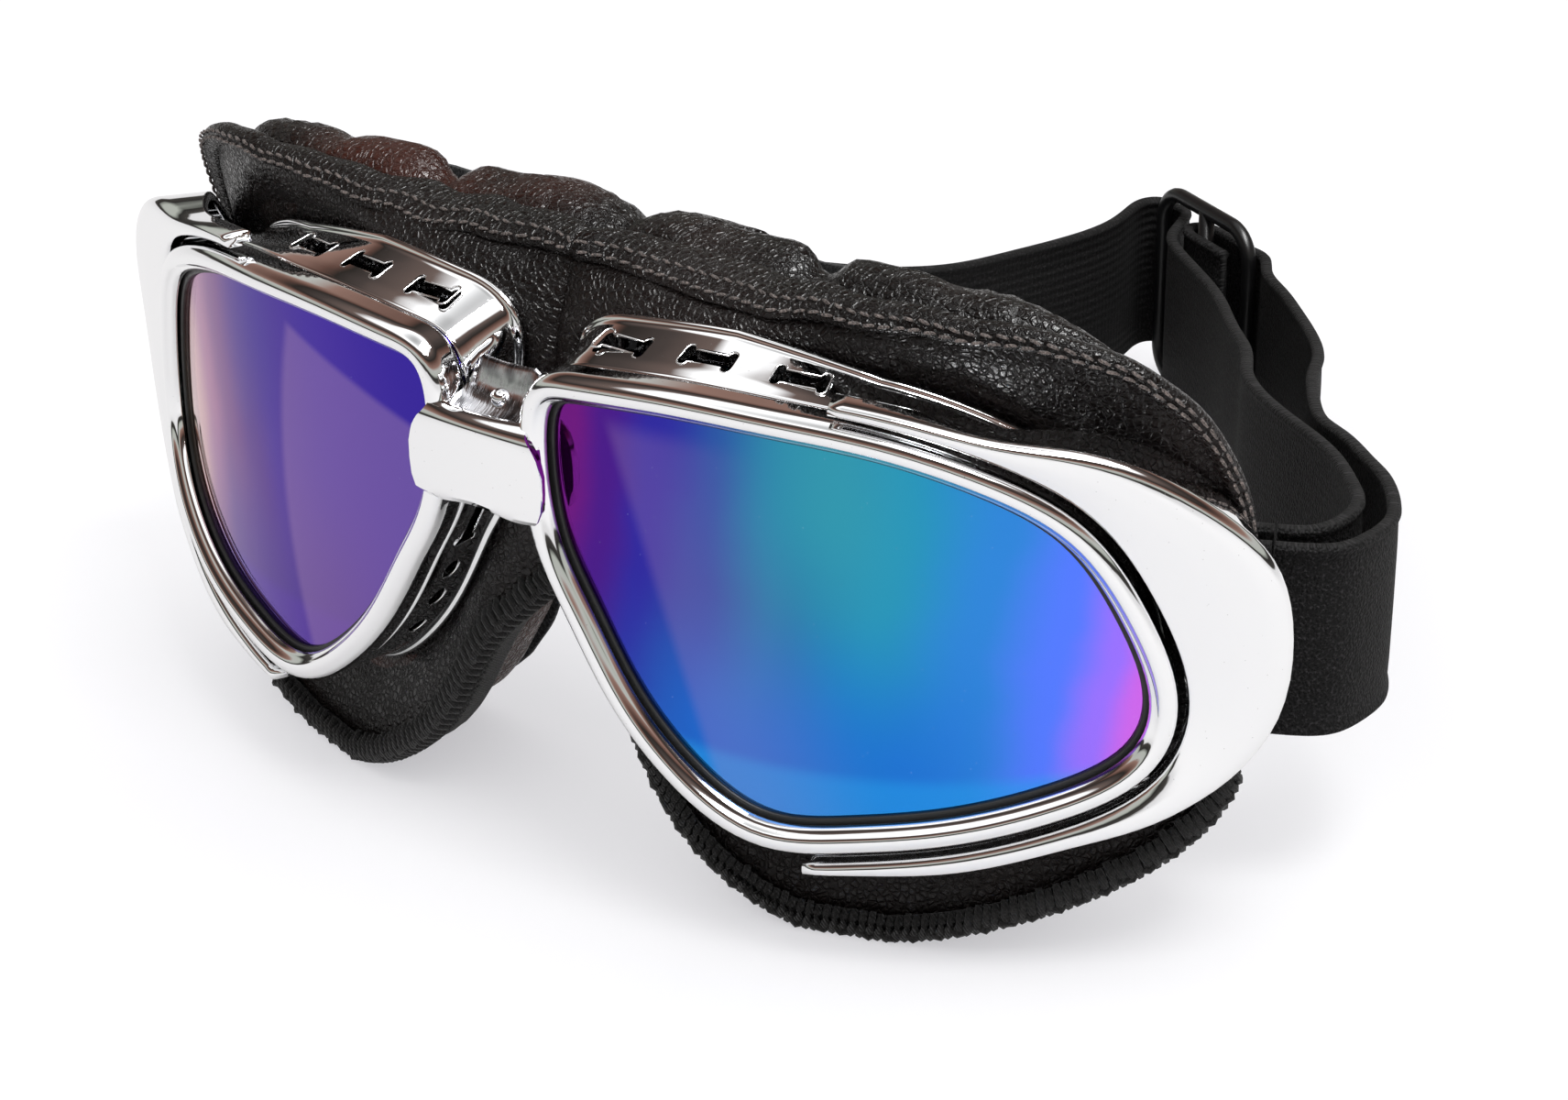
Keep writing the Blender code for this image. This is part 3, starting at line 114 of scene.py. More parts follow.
COVER_FLARE_SHARES = (0.0, 0.0, 0.05, 0.42, 1.0, 0.78, 0.24, 0.03, 0.0, 0.0, 0.0)
COVER_WALL_SHARES = (0.3, 0.3, 0.36, 0.7, 1.0, 1.0, 0.95, 0.6, 0.36, 0.3, 0.3)
HINGE_X, HINGE_Y = 0.0034, -0.0883
FOLD, FOLD_GAP = math.radians(25), 0.0012
STRAP_WIDTH, STRAP_THICKNESS = 0.025, 0.0015
TEMPLE_Z, SLIDER_Z = 0.0368, 0.017
BAR_S, BAR_DEPTH, BAR_RADIUS = 0.0932, 0.0222, 0.0012
STRAP_LEG, LEG_TURN = 0.0093, math.radians(25)
SLIDER_LENGTH, SLIDER_BAR, SLIDER_THICKNESS, SEWN_LEG = 0.0276, 0.0036, 0.0024, 0.009
SLIDER_TURN, SLIDER_X, SLIDER_FROM_FACE = math.radians(152), -0.0055, 0.1804
CLEAR = 0.0004
OUTER_ROUTE_SHARES = (
    (0.002, -0.045), (0.025, -0.071), (0.058, -0.089), (0.093, -0.097), (0.177, -0.093), (0.231, -0.081),
    (0.301, -0.065), (0.36, -0.047), (0.414, -0.041), (0.473, -0.04), (0.554, -0.042), (0.636, -0.049),
    (0.738, -0.043), (0.815, -0.032), (0.893, -0.017), (0.952, -0.003),
)
INNER_ROUTE_SHARES = (
    (0.0, -0.029), (0.02, -0.052), (0.053, -0.068), (0.086, -0.07), (0.134, -0.067), (0.187, -0.06),
    (0.26, -0.042), (0.336, -0.026), (0.425, -0.019), (0.516, -0.027), (0.618, -0.025), (0.727, -0.024),
    (0.825, -0.016), (0.91, -0.003), (0.953, 0.003),
)
REAR_ROUTE_SHARES = (
    (0.006, -0.014), (0.024, -0.017), (0.056, 0.001), (0.089, 0.023), (0.13, 0.043), (0.198, 0.067),
    (0.266, 0.09), (0.337, 0.114), (0.394, 0.121), (0.444, 0.114), (0.507, 0.092), (0.588, 0.06),
    (0.68, 0.022), (0.771, -0.017), (0.848, -0.047), (0.901, -0.063), (0.938, -0.065), (0.97, -0.055),
    (0.992, -0.034),
)


# Curves and outlines
def spline(points, steps=STEPS, closed=True):
    """A curve with an even bend through the points, with this many pieces between neighbours."""
    points = np.asarray(points, float)
    count = len(points)
    step = np.roll(points, -1, 0) - points
    span = np.sqrt(np.maximum(np.linalg.norm(step, axis=1), 1e-6))
    pull = 3 * step / span[:, None] ** 2
    system, wanted = np.zeros((count, count)), np.zeros_like(points)
    pairs = [(place, (place + 1) % count) for place in range(count if closed else count - 1)]
    for place, after in pairs:
        for one, other in ((place, after), (after, place)):
            system[one, other] += 1 / span[place]
            system[one, one] += 2 / span[place]
            wanted[one] += pull[place]
    slopes = np.linalg.solve(system, wanted)
    t = np.arange(steps)[:, None] / steps
    made = []
    for place, after in pairs:
        made.append(
            points[place] * (2 * t**3 - 3 * t**2 + 1)
            + slopes[place] * span[place] * (t**3 - 2 * t**2 + t)
            + points[after] * (3 * t**2 - 2 * t**3)
            + slopes[after] * span[place] * (t**3 - t**2)
        )
    return np.concatenate(made if closed else [*made, points[-1:]])


def eased(shares, closed=True):
    """Numbers that ease from each share of a table to the next."""
    shares = np.asarray(shares, float)
    if closed:
        shares = np.append(shares, shares[0])
    places = np.arange((len(shares) - 1) * STEPS + (0 if closed else 1)) / STEPS
    low = np.floor(places).astype(int).clip(0, len(shares) - 2)
    t = places - low
    t = t * t * (3 - 2 * t) * 0.5 + t * 0.5
    return shares[low] * (1 - t) + shares[low + 1] * t


def outline_of(shares, start, length, low, height):
    """The closed outline through a table's shares of a box on the face."""
    return spline([(start + share[0] * length, low + share[1] * height) for share in shares])


def wrapped(points):
    """The places in space of points (s, z, h) on the wrapped face."""
    s, z, h = np.moveaxis(np.asarray(points, float), -1, 0)
    angle = np.maximum(s - FLAT_HALF, 0) / WRAP_RADIUS
    reach = WRAP_RADIUS + h
    x = np.minimum(s, FLAT_HALF) + reach * np.sin(angle)
    return np.stack((x, FACE_Y + WRAP_RADIUS - reach * np.cos(angle), z), -1)


def outward(outline):
    """The way square to an outline at each of its places, out of it."""
    along = np.roll(outline, -1, 0) - np.roll(outline, 1, 0)
    normals = np.stack((-along[:, 1], along[:, 0]), -1) / np.linalg.norm(along, axis=1)[:, None]
    return -normals if np.sum((outline - outline.mean(0)) * normals) < 0 else normals


def with_h(outline, h):
    """An outline's places with how far out each lies."""
    return np.column_stack((outline, np.broadcast_to(h, len(outline))))


def pad_edge():
    """The leather's outer edge with its depth: up the middle, round from the brow, and up again under the nose."""
    table = [(PAD_START + s * PAD_LENGTH, z * PAD_HEIGHT, -h * PAD_DEPTH) for s, z, h in PAD_SHARES]
    brow, arch = (0, PAD_HEIGHT, -PAD_DEPTH), (ARCH_X, ARCH_Z, -ARCH_DEPTH_SHARE * PAD_DEPTH)
    round_pad = spline([brow, *table, arch], closed=False)[:-1]
    share = np.arange(STEPS) / STEPS
    above = arch[2] - (PAD_DEPTH + arch[2]) * share**2.5
    high_part = np.column_stack((np.zeros(STEPS), NOSE_Z + (PAD_HEIGHT - NOSE_Z) * share, above))
    below = np.full(STEPS, arch[2])
    low_part = np.column_stack((ARCH_X * (1 - share) ** 4, ARCH_Z + (NOSE_Z - ARCH_Z) * share, below))
    made = np.concatenate((high_part, round_pad, low_part))
    made[:, :2] = np.maximum(made[:, :2], 0)
    return made


WINDOW = outline_of(WINDOW_SHARES, WINDOW_START, WINDOW_LENGTH, WINDOW_LOW, WINDOW_HEIGHT)
WINDOW_NORMALS = outward(WINDOW)
BACK_EDGE = outline_of(BACK_SHARES, BACK_START, BACK_LENGTH, BACK_LOW, BACK_HEIGHT)
OPENING = outline_of(OPENING_SHARES, OPENING_START, OPENING_LENGTH, OPENING_LOW, OPENING_HEIGHT)
PAD_EDGE = pad_edge()
PAD_NORMALS = outward(PAD_EDGE[:, :2])
PAD_REACH = np.linalg.norm(PAD_EDGE[:, :2] - WINDOW, axis=1)
PAD_WAY = (PAD_EDGE[:, :2] - WINDOW) / PAD_REACH[:, None]


def around_window(distance, h):
    """A loop this far out round the window, in space."""
    return wrapped(with_h(WINDOW + WINDOW_NORMALS * distance, h))


def fold_limit(y):
    """How near the middle a half's point may be at this depth, to stay clear of the other half when folded."""
    return HINGE_X + ((y - HINGE_Y) * math.sin(FOLD) - (HINGE_X - FOLD_GAP)) / math.cos(FOLD)


def clear_of_fold(points):
    """The points, moved out of the other half's way."""
    moved = points.copy()
    moved[:, 0] = np.maximum(points[:, 0], np.maximum(fold_limit(points[:, 1]), FOLD_GAP))
    return moved


def filleted(profile, reach, steps=4):
    """The closed profile with each corner rounded over this reach, and a point beyond it that keeps flats flat."""
    profile = np.asarray(profile, float)
    made = []
    for place, corner in enumerate(profile):
        ends, beyond = [], []
        for other in (profile[place - 1], profile[(place + 1) % len(profile)]):
            way = other - corner
            length = np.linalg.norm(way)
            ends.append(corner + way / length * min(reach, length * 0.4))
            beyond.append(corner + way / length * min(reach * 1.4, length * 0.47))
        made.append(beyond[0])
        for step in range(steps + 1):
            t = step / steps
            made.append(ends[0] * (1 - t) ** 2 + corner * 2 * t * (1 - t) + ends[1] * t**2)
        made.append(beyond[1])
    return np.array(made)


def finely(profile, step):
    """The closed profile with points added on its long sides."""
    made = []
    for point, after in zip(profile, np.roll(profile, -1, 0)):
        count = max(int(np.linalg.norm(after - point) / step), 1)
        made += [point + (after - point) * number / count for number in range(count)]
    return np.array(made)


def evenly(line, pitch):
    """Places along a line of points, at an even pitch, with whatever else its rows hold."""
    steps = np.linalg.norm(np.diff(line[:, :3], axis=0), axis=1)
    length = np.concatenate(([0], np.cumsum(steps)))
    wanted = np.arange(pitch / 2, length[-1], pitch)
    return np.column_stack([np.interp(wanted, length, column) for column in line.T])


# Meshes
SHARP_ANGLE, HAIR = math.radians(35), 0.0004


def linked(name, mesh, finish):
    """A smooth object of this mesh, in the scene, with the finish of this name."""
    mesh.shade_smooth()
    mesh.materials.append(FINISHES[finish])
    made = bpy.data.objects.new(name, mesh)
    bpy.context.scene.collection.objects.link(made)
    return made


def piece(name, points, faces, finish, sharp=False):
    """A piece of these points and faces, its faces turned outwards."""
    mesh = bpy.data.meshes.new(name)
    mesh.from_pydata([tuple(point) for point in points], [], faces)
    mesh.validate()
    mixed = bmesh.new()
    mixed.from_mesh(mesh)
    bmesh.ops.remove_doubles(mixed, verts=mixed.verts, dist=1e-7)
    bmesh.ops.recalc_face_normals(mixed, faces=mixed.faces)
    if mixed.calc_volume(signed=True) < 0:
        bmesh.ops.reverse_faces(mixed, faces=mixed.faces)
    mixed.to_mesh(mesh)
    mixed.free()
    made = linked(name, mesh, finish)
    if sharp:
        mesh.set_sharp_from_angle(angle=SHARP_ANGLE)
    return made


def faces_through(count, corners, joined=False):
    """Faces over sections of as many corners each, closed round each section and capped unless joined."""
    faces = []
    for place in range(count if joined else count - 1):
        near, far = place * corners, (place + 1) % count * corners
        for corner in range(corners):
            after = (corner + 1) % corners
            faces.append((near + corner, near + after, far + after, far + corner))
    if not joined:
        faces.append(tuple(range(corners)))
        faces.append(tuple((count - 1) * corners + corner for corner in range(corners)))
    return faces


def skin(name, sections, finish, side=1, joined=False, sharp=False):
    """A surface through sections of as many points each."""
    sections = np.asarray(sections, float) * (side, 1, 1)
    return piece(name, sections.reshape(-1, 3), faces_through(*sections.shape[:2], joined), finish, sharp)


def ring(name, loops, finish, side):
    """A closed ring whose surface runs over these loops in turn."""
    return skin(name, np.stack(loops, 1), finish, side, joined=True)


def window_ring(name, profile, finish, side, spread=0.0):
    """A ring round the window, of a profile of (distance out, h). It may spread with depth as the eyecup does."""
    loops = [around_window(distance + spread * wall_flare(h), h) for distance, h in profile]
    return ring(name, loops, finish, side)


def tube(points, radius, corners=6):
    """Points and faces of a thread along points."""
    points = np.asarray(points, float)
    along = np.gradient(points, axis=0)
    along /= np.linalg.norm(along, axis=1)[:, None] + 1e-12
    aside = np.cross(along, (0.31, 0.17, 0.94))
    aside /= np.linalg.norm(aside, axis=1)[:, None]
    up = np.cross(along, aside)
    radii = np.broadcast_to(radius, len(points))
    angles = np.arange(corners) * 2 * math.pi / corners
    circle = np.cos(angles)[None, :, None] * aside[:, None] + np.sin(angles)[None, :, None] * up[:, None]
    places = (points[:, None] + circle * radii[:, None, None]).reshape(-1, 3)
    return places, faces_through(len(points), corners)


def threads(name, lines, radius, finish, corners=6):
    """Many threads as one piece."""
    places, faces, base = [], [], 0
    for line in lines:
        some, more = tube(line, radius, corners)
        places.append(some)
        faces += [tuple(base + corner for corner in face) for face in more]
        base += len(some)
    return piece(name, np.concatenate(places), faces, finish)


def creased(made, amount):
    """Moves each point of a piece along its normal by what amount gives for its place."""
    mesh = made.data
    normals = [vertex.normal.copy() for vertex in mesh.vertices]
    for vertex, normal in zip(mesh.vertices, normals):
        vertex.co += normal * amount(vertex.co)
    mesh.update()
    return made


def lifted(point, scale, amount):
    """How far noise of this scale lifts a point."""
    return noise.noise(point * scale) * amount


def flatten_middle(made):
    """Puts back on the middle plane what lies within a hair of it, so that both sides meet."""
    for vertex in made.data.vertices:
        if abs(vertex.co.x) < HAIR:
            vertex.co.x = 0


def crisp_ends(made):
    """Gives the end faces of a piece edges of their own, so that its sides are shaded straight on past them."""
    mesh = made.data
    for face in mesh.polygons:
        if len(face.vertices) > 4:
            for loop in face.loop_indices:
                mesh.edges[mesh.loops[loop].edge_index].use_edge_sharp = True


def cut(made, cutter):
    """Takes a helper shape out of a piece. The helper then goes."""
    change = made.modifiers.new("cut", "BOOLEAN")
    change.operation, change.object, change.solver = "DIFFERENCE", cutter, "EXACT"
    graph = bpy.context.evaluated_depsgraph_get()
    mesh = bpy.data.meshes.new_from_object(made.evaluated_get(graph))
    made.modifiers.clear()
    old, made.data = made.data, mesh
    bpy.data.meshes.remove(old)
    bpy.data.objects.remove(cutter)
    mesh.shade_smooth()
    mesh.set_sharp_from_angle(angle=SHARP_ANGLE)


def mapped(made, coordinates):
    """Gives each corner of a piece's faces the coordinates of its point."""
    layer = made.data.uv_layers.new(name="along")
    for loop in made.data.loops:
        layer.data[loop.index].uv = coordinates[loop.vertex_index]


def settled(made, slot, *nodes):
    """Hides the solids that a piece stands for; the slot is not used."""
    if nodes:
        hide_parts(*nodes)
    return made


def stands_for(made, body, slot, *nodes):
    """A piece that rides on one body."""
    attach(made, body)
    return settled(made, slot, *nodes)


def rides_half(made, side_name, slot, node=None):
    """A piece that rides on its half, and the solid it stands for, named without its side."""
    return stands_for(made, f"{side_name}_half", slot, *([f"{node}_{side_name}"] if node else []))


def bends_over(made, side_name, y, z, reach, slot, *nodes):
    """Bakes a piece's place into its points and hides the solids it stands for; the reach is not used."""
    SIDES[side_name] * reach
    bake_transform(made)
    return settled(made, slot, *nodes)


# Finishes
class Shade:
    """A socket. Sums and products of sockets and numbers add Math nodes."""

    def __init__(self, owner, socket):
        self.owner, self.socket = owner, socket

    def maths(self, operation, *values):
        return self.owner.add("ShaderNodeMath", {"operation": operation}, dict(enumerate(values)))

    def __add__(self, other):
        return self.maths("ADD", self, other)

    def __sub__(self, other):
        return self.maths("SUBTRACT", self, other)

    def __rsub__(self, other):
        return self.maths("SUBTRACT", other, self)

    def __mul__(self, other):
        return self.maths("MULTIPLY", self, other)

    __radd__, __rmul__ = __add__, __mul__

    def sine(self):
        return self.maths("SINE", self)

    def between(self, low, high):
        """Zero below low, one above high, and smooth between."""
        settings = {"interpolation_type": "SMOOTHSTEP"}
        return self.owner.add("ShaderNodeMapRange", settings, {0: self, 1: low, 2: high, 3: 0.0, 4: 1.0})


class Nodes:
    """A node tree, with the shader that its sockets feed."""

    def __init__(self, tree, shader):
        self.nodes, self.links, self.shader = tree.nodes, tree.links, tree.nodes[shader]

    def add(self, kind, settings=None, values=None, out=0):
        """Adds a node with its settings, then its sockets' values or links, and gives one of its outputs."""
        node = self.nodes.new(kind)
        for name, value in (settings or {}).items():
            if name == "stops":
                fill_ramp(node.color_ramp, *value)
            else:
                setattr(node, name, value)
        for key, value in (values or {}).items():
            if isinstance(value, Shade):
                self.links.new(value.socket, node.inputs[key])
            else:
                node.inputs[key].default_value = value
        return Shade(self, node.outputs[out])

    def place(self):
        return self.add("ShaderNodeTexCoord", out="Object")

    def along(self):
        return self.add("ShaderNodeUVMap", {"uv_map": "along"})

    def split(self, vector):
        """The three parts of a vector."""
        first = self.add("ShaderNodeSeparateXYZ", {}, {0: vector})
        return [Shade(self, socket) for socket in first.socket.node.outputs]

    def stretched(self, vector, factors):
        return self.add("ShaderNodeVectorMath", {"operation": "MULTIPLY"}, {0: vector, 1: factors})

    def warped(self, vector, scale, amount):
        """The vector, moved about by noise, so that a pattern isn't regular."""
        values = {0: self.noise(vector, scale, out=1), 1: (amount,) * 3, 2: vector}
        return self.add("ShaderNodeVectorMath", {"operation": "MULTIPLY_ADD"}, values)

    def noise(self, vector, scale, detail=2.0, out=0):
        return self.add("ShaderNodeTexNoise", {}, {"Vector": vector, "Scale": scale, "Detail": detail}, out)

    def cells(self, vector, scale, feature="F1"):
        return self.add("ShaderNodeTexVoronoi", {"feature": feature}, {"Vector": vector, "Scale": scale})

    def ramp(self, factor, bend, stops):
        return self.add("ShaderNodeValToRGB", {"stops": (bend, stops)}, {0: factor})

    def mix(self, factor, first, second):
        first, second = (value if isinstance(value, Shade) else (*value, 1) for value in (first, second))
        return self.add("ShaderNodeMix", {"data_type": "RGBA"}, {0: factor, 6: first, 7: second}, 2)

    def feed(self, **sockets):
        for key, value in sockets.items():
            self.links.new(value.socket, self.shader.inputs[key.replace("_", " ").title()])
        return self


class Finish(Nodes):
    """A material, with its shader's plain values set at once and its nodes added by name."""

    def __init__(self, name, colour, roughness, **constants):
        self.material = bpy.data.materials.new(name)
        self.material.use_nodes = True
        super().__init__(self.material.node_tree, "Principled BSDF")
        values = {"Base Color": (*colour, 1), "Roughness": roughness}
        for key, value in constants.items():
            values[key.replace("_", " ").title().replace("Ior", "IOR")] = value
        for key, value in values.items():
            self.shader.inputs[key].default_value = value

    def bumped(self, height, strength, distance):
        """The finished material, with this relief."""
        values = {"Height": height, "Strength": strength, "Distance": distance}
        return self.feed(normal=self.add("ShaderNodeBump", {}, values)).material


def fill_ramp(ramp, bend, stops):
    ramp.interpolation = bend
    ramp.elements.remove(ramp.elements[-1])
    for number, (place, colour) in enumerate(stops):
        stop = ramp.elements[0] if number == 0 else ramp.elements.new(place)
        stop.position, stop.color = place, (*colour, 1)


def chrome_plate(name, smudge=0.03, wave=0.02):
    """Polished chrome with faint smudges and a few dull specks."""
    bright = (0.9, 0.905, 0.915)
    made = Finish(name, bright, 0.03, metallic=1.0)
    at = made.place()
    specks = made.cells(at, 900).between(0.03, 0.08)
    made.feed(
        roughness=made.noise(at, 160, 4.0).between(0.45, 0.8) * smudge + (1 - specks) * 0.2 + 0.025,
        base_color=made.mix(specks, (0.6, 0.6, 0.6), bright),
    )
    return made.bumped(made.noise(at, 220, 1.0), wave, 0.001)


def scratched_chrome(name):
    """Old chrome with scratches across it and darker hollows."""
    made = Finish(name, (0.72, 0.72, 0.74), 0.12, metallic=1.0)
    at = made.place()
    lines = made.noise(made.stretched(at, (3800, 420, 700)), 1.0)
    hollows = made.noise(at, 260)
    made.feed(
        roughness=lines.between(0.4, 0.7) * 0.22 + 0.07,
        base_color=made.mix(hollows.between(0.42, 0.6), (0.2, 0.2, 0.215), (0.62, 0.62, 0.65)),
    )
    return made.bumped(lines * 0.2 + hollows * 0.3, 0.35, 0.0003)


def steel(name):
    """Bare steel with the fine rings of a lathe."""
    made = Finish(name, (0.6, 0.6, 0.61), 0.28, metallic=1.0)
    turned = made.noise(made.stretched(made.place(), (400, 400, 6000)), 1.0)
    made.feed(roughness=turned * 0.25 + 0.15)
    return made.bumped(turned, 0.15, 0.0001)


def leather(name, dark, worn, pebble=0.0009, tinted=False):
    """Black grained leather: glossy pebbles with dull creases between, and a brown patch on the roll."""
    made = Finish(name, dark, 0.34, specular_ior_level=0.27)
    at = made.place()
    loose = made.warped(at, 700, 0.0009)
    pebbles = made.cells(loose, 1 / pebble, "DISTANCE_TO_EDGE").between(0.0, 0.2)
    small = made.cells(loose, 2.4 / pebble, "DISTANCE_TO_EDGE").between(0.0, 0.28)
    grain = made.noise(at, 4200)
    folds = made.noise(made.stretched(at, (150, 200, 190)), 1.0, 4.0)
    patches = made.noise(at, 42, 3.0)
    colour = made.mix(patches.between(0.42, 0.72), dark, worn)
    if tinted:
        across = made.split(at)[0]
        patch = across.between(-0.056, -0.04) * (1 - across.between(-0.014, -0.002)) * patches.between(0.25, 0.6)
        colour = made.mix(patch, colour, (0.05, 0.014, 0.009))
    made.feed(roughness=(1 - pebbles) * 0.3 + grain * 0.06 + patches * 0.12 + 0.06, base_color=colour)
    return made.bumped(pebbles * 0.38 + small * 0.06 + grain * 0.01 + folds * 1.1, 0.85, 0.00045)


def thread(name, dark, pale):
    """Twisted thread with a little fluff."""
    made = Finish(name, dark, 0.7, sheen_weight=0.12, sheen_roughness=0.5, specular_ior_level=0.3)
    at = made.place()
    values = {"Vector": at, "Scale": 1100.0, "Distortion": 1.5}
    twist = made.add("ShaderNodeTexWave", {"bands_direction": "DIAGONAL"}, values)
    fluff = made.noise(at, 4000, 3.0)
    made.feed(base_color=made.mix(fluff.between(0.35, 0.7), dark, pale), roughness=fluff * 0.3 + 0.5)
    return made.bumped(twist * 0.5 + fluff, 0.7, 0.0002)


def webbing(name, knitted):
    """Elastic webbing: a fine knit, or ribs across it."""
    made = Finish(name, (0.003, 0.003, 0.003), 0.8, sheen_weight=0.02, sheen_roughness=0.4, specular_ior_level=0.16)
    at = made.along()
    along, across, _ = made.split(at)
    specks = made.noise(made.stretched(at, (2600, 2200, 1)), 1.0, 3.0)
    rows = (across * (2 * math.pi / 0.0014)).sine()
    if knitted:
        beads = made.cells(made.stretched(at, (2600, 2300, 1)), 1.0).between(0.15, 0.75)
        surface = (1 - beads) * 0.8 + specks * 0.7 + rows * 0.12
    else:
        ribs = (along * (2 * math.pi / 0.0011)).sine()
        surface = ribs * 0.06 + specks * 0.4 + rows * 0.4
    made.feed(
        base_color=made.mix(specks.between(0.5, 0.72), (0.0022, 0.0021, 0.0022), (0.026, 0.024, 0.026)),
        roughness=specks * 0.3 + 0.6,
    )
    return made.bumped(surface, 0.9, 0.00022)


def nylon(name):
    made = Finish(name, (0.005, 0.005, 0.0055), 0.3, specular_ior_level=0.35)
    at = made.place()
    made.feed(roughness=made.noise(at, 300, 4.0) * 0.25 + 0.2)
    return made.bumped(made.noise(at, 2500), 0.12, 0.0001)


def rubber(name):
    made = Finish(name, (0.01, 0.01, 0.01), 0.5)
    at = made.place()
    made.feed(roughness=made.noise(at, 700, 3.0) * 0.3 + 0.35)
    return made.bumped(made.noise(at, 1800), 0.15, 0.0002)


def fleece(name):
    made = Finish(name, (0.018, 0.018, 0.019), 0.95, sheen_weight=0.15, sheen_roughness=0.6, specular_ior_level=0.2)
    fluff = made.noise(made.place(), 1500, 5.0)
    made.feed(base_color=made.mix(fluff.between(0.4, 0.7), (0.005, 0.005, 0.0055), (0.03, 0.03, 0.033)))
    return made.bumped(fluff, 1.0, 0.0008)


def mirror_coat(name, stops, low_edge, painted_reflection, upper, lower):
    """A coating whose colour runs from the nose to the temple, with a patch above, a paler strip below and a painted
    reflection: a hazy pale patch mixed over it.
    """
    made = Finish(name, (0.05, 0.2, 0.7), 0.05, metallic=0.94, specular_ior_level=0.6)
    at = made.along()
    across, up, _ = made.split(at)
    clouds = made.noise(at, 3.0, 3.0)
    # Painted reflection colour: both lenses carry one coating, and each lens's stops and colours paint what that
    # coating shows at the lens's own angle of view.
    colour = made.ramp(across + (up - 0.5) * -0.1 + (clouds - 0.5) * 0.08, "EASE", stops)
    middle = across.between(0.25, 0.5) * (1 - across.between(0.5, 0.68)) * up.between(0.35, 0.85)
    colour = made.mix(middle * 0.75, colour, upper)
    below = across.between(0.05, 0.3) * (1 - across.between(0.6, 0.85)) * (1 - up.between(0.15, 0.6))
    colour = made.mix(below * 0.8, colour, lower)
    strip = 1 - (up + (across - 0.5) * (across - 0.5) * -0.35).between(0.1, 0.15)
    colour = made.mix(strip * 0.55, colour, low_edge)
    # Painted reflection: a hazy pale patch, the mirror image of a bright sheet nearby, mixed over the coating's
    # colour.
    colour = made.mix(painted_reflection(across, up), colour, (0.46, 0.28, 0.52))
    dust = made.cells(at, 38).between(0.012, 0.034)
    roughness = (1 - dust) * 0.3 + clouds * 0.04 + 0.02
    made.feed(base_color=made.mix(dust, (0.5, 0.6, 0.75), colour), roughness=roughness)
    return made.bumped(clouds, 0.02, 0.001)


# Where the near lens's painted reflection lies.
def near_painted_reflection(across, up):
    edge = across + up * 0.22
    return edge.between(0.3, 0.33) * (1 - edge.between(0.34, 0.62)) * (1 - up.between(0.9, 0.97)) * 0.14


# Where the far lens's painted reflection lies.
def far_painted_reflection(across, up):
    edge = across + (up - 0.5) * (up - 0.5) * 0.25
    return (1 - edge.between(0.4, 0.43)) * (1 - (up + across * -0.45).between(0.74, 0.77)) * 0.26


FINISHES = {
    "chrome": chrome_plate("bright_chrome"),
    "plate": chrome_plate("plate_chrome", 0.05, 0.03),
    "saddle": scratched_chrome("scratched_chrome"),
    "steel": steel("turned_steel"),
    "leather": leather("pebbled_leather", (0.004, 0.0028, 0.0027), (0.009, 0.006, 0.0056)),
    "roll": leather("padded_leather", (0.005, 0.004, 0.0038), (0.014, 0.009, 0.008), 0.001, True),
    "seam": thread("seam_thread", (0.03, 0.023, 0.021), (0.2, 0.16, 0.145)),
    "overlock": thread("overlock_thread", (0.003, 0.003, 0.003), (0.016, 0.015, 0.015)),
    "knit": webbing("knitted_elastic", True),
    "ribbed": webbing("ribbed_elastic", False),
    "nylon": nylon("black_nylon"),
    "rubber": rubber("gasket_rubber"),
    "fleece": fleece("lining_fleece"),
    # The two lenses carry one coating; each entry's colours are painted to show it as seen at that lens's angle of
    # view.
    "left_lens": mirror_coat(
        "mirror_coat_left",
        (
            (0.0, (0.16, 0.008, 0.22)), (0.07, (0.07, 0.01, 0.26)), (0.15, (0.03, 0.024, 0.36)),
            (0.26, (0.025, 0.07, 0.38)), (0.4, (0.022, 0.19, 0.42)), (0.58, (0.02, 0.3, 0.5)),
            (0.74, (0.03, 0.24, 0.7)), (0.86, (0.09, 0.2, 1.0)), (0.94, (0.32, 0.17, 1.0)), (1.0, (0.62, 0.14, 0.85)),
        ),
        (0.02, 0.34, 0.85),
        near_painted_reflection,
        (0.035, 0.34, 0.42),
        (0.012, 0.16, 0.7),
    ),
    "right_lens": mirror_coat(
        "mirror_coat_right",
        (
            (0.0, (0.04, 0.018, 0.34)), (0.25, (0.055, 0.02, 0.35)), (0.42, (0.075, 0.02, 0.33)),
            (0.52, (0.1, 0.018, 0.25)), (0.64, (0.17, 0.028, 0.22)), (0.74, (0.33, 0.08, 0.25)),
            (0.85, (0.55, 0.25, 0.28)), (1.0, (0.58, 0.44, 0.35)),
        ),
        (0.09, 0.02, 0.4),
        far_painted_reflection,
        (0.04, 0.012, 0.3),
        (0.075, 0.024, 0.3),
    ),
}


# The eyecups
LENS_FRONT, LENS_BACK, RIM_INSET = -0.0022, -0.0042, 0.0014
CUP_REACH = BEZEL_WIDTH - 0.0003
VENT_DEPTH, OVAL_LENGTH = 0.0088, 0.005
UPPER_VENTS = ((0.0149, 0.0004, -0.02, 0.0076), (0.0274, 0.0, -0.015, 0.0074), (0.0398, 0.0007, -0.06, 0.0074))
NOSE_VENTS = ((0.0462, 0.0098), (0.0372, 0.0034), (0.0325, 0.0034), (0.028, 0.0034))


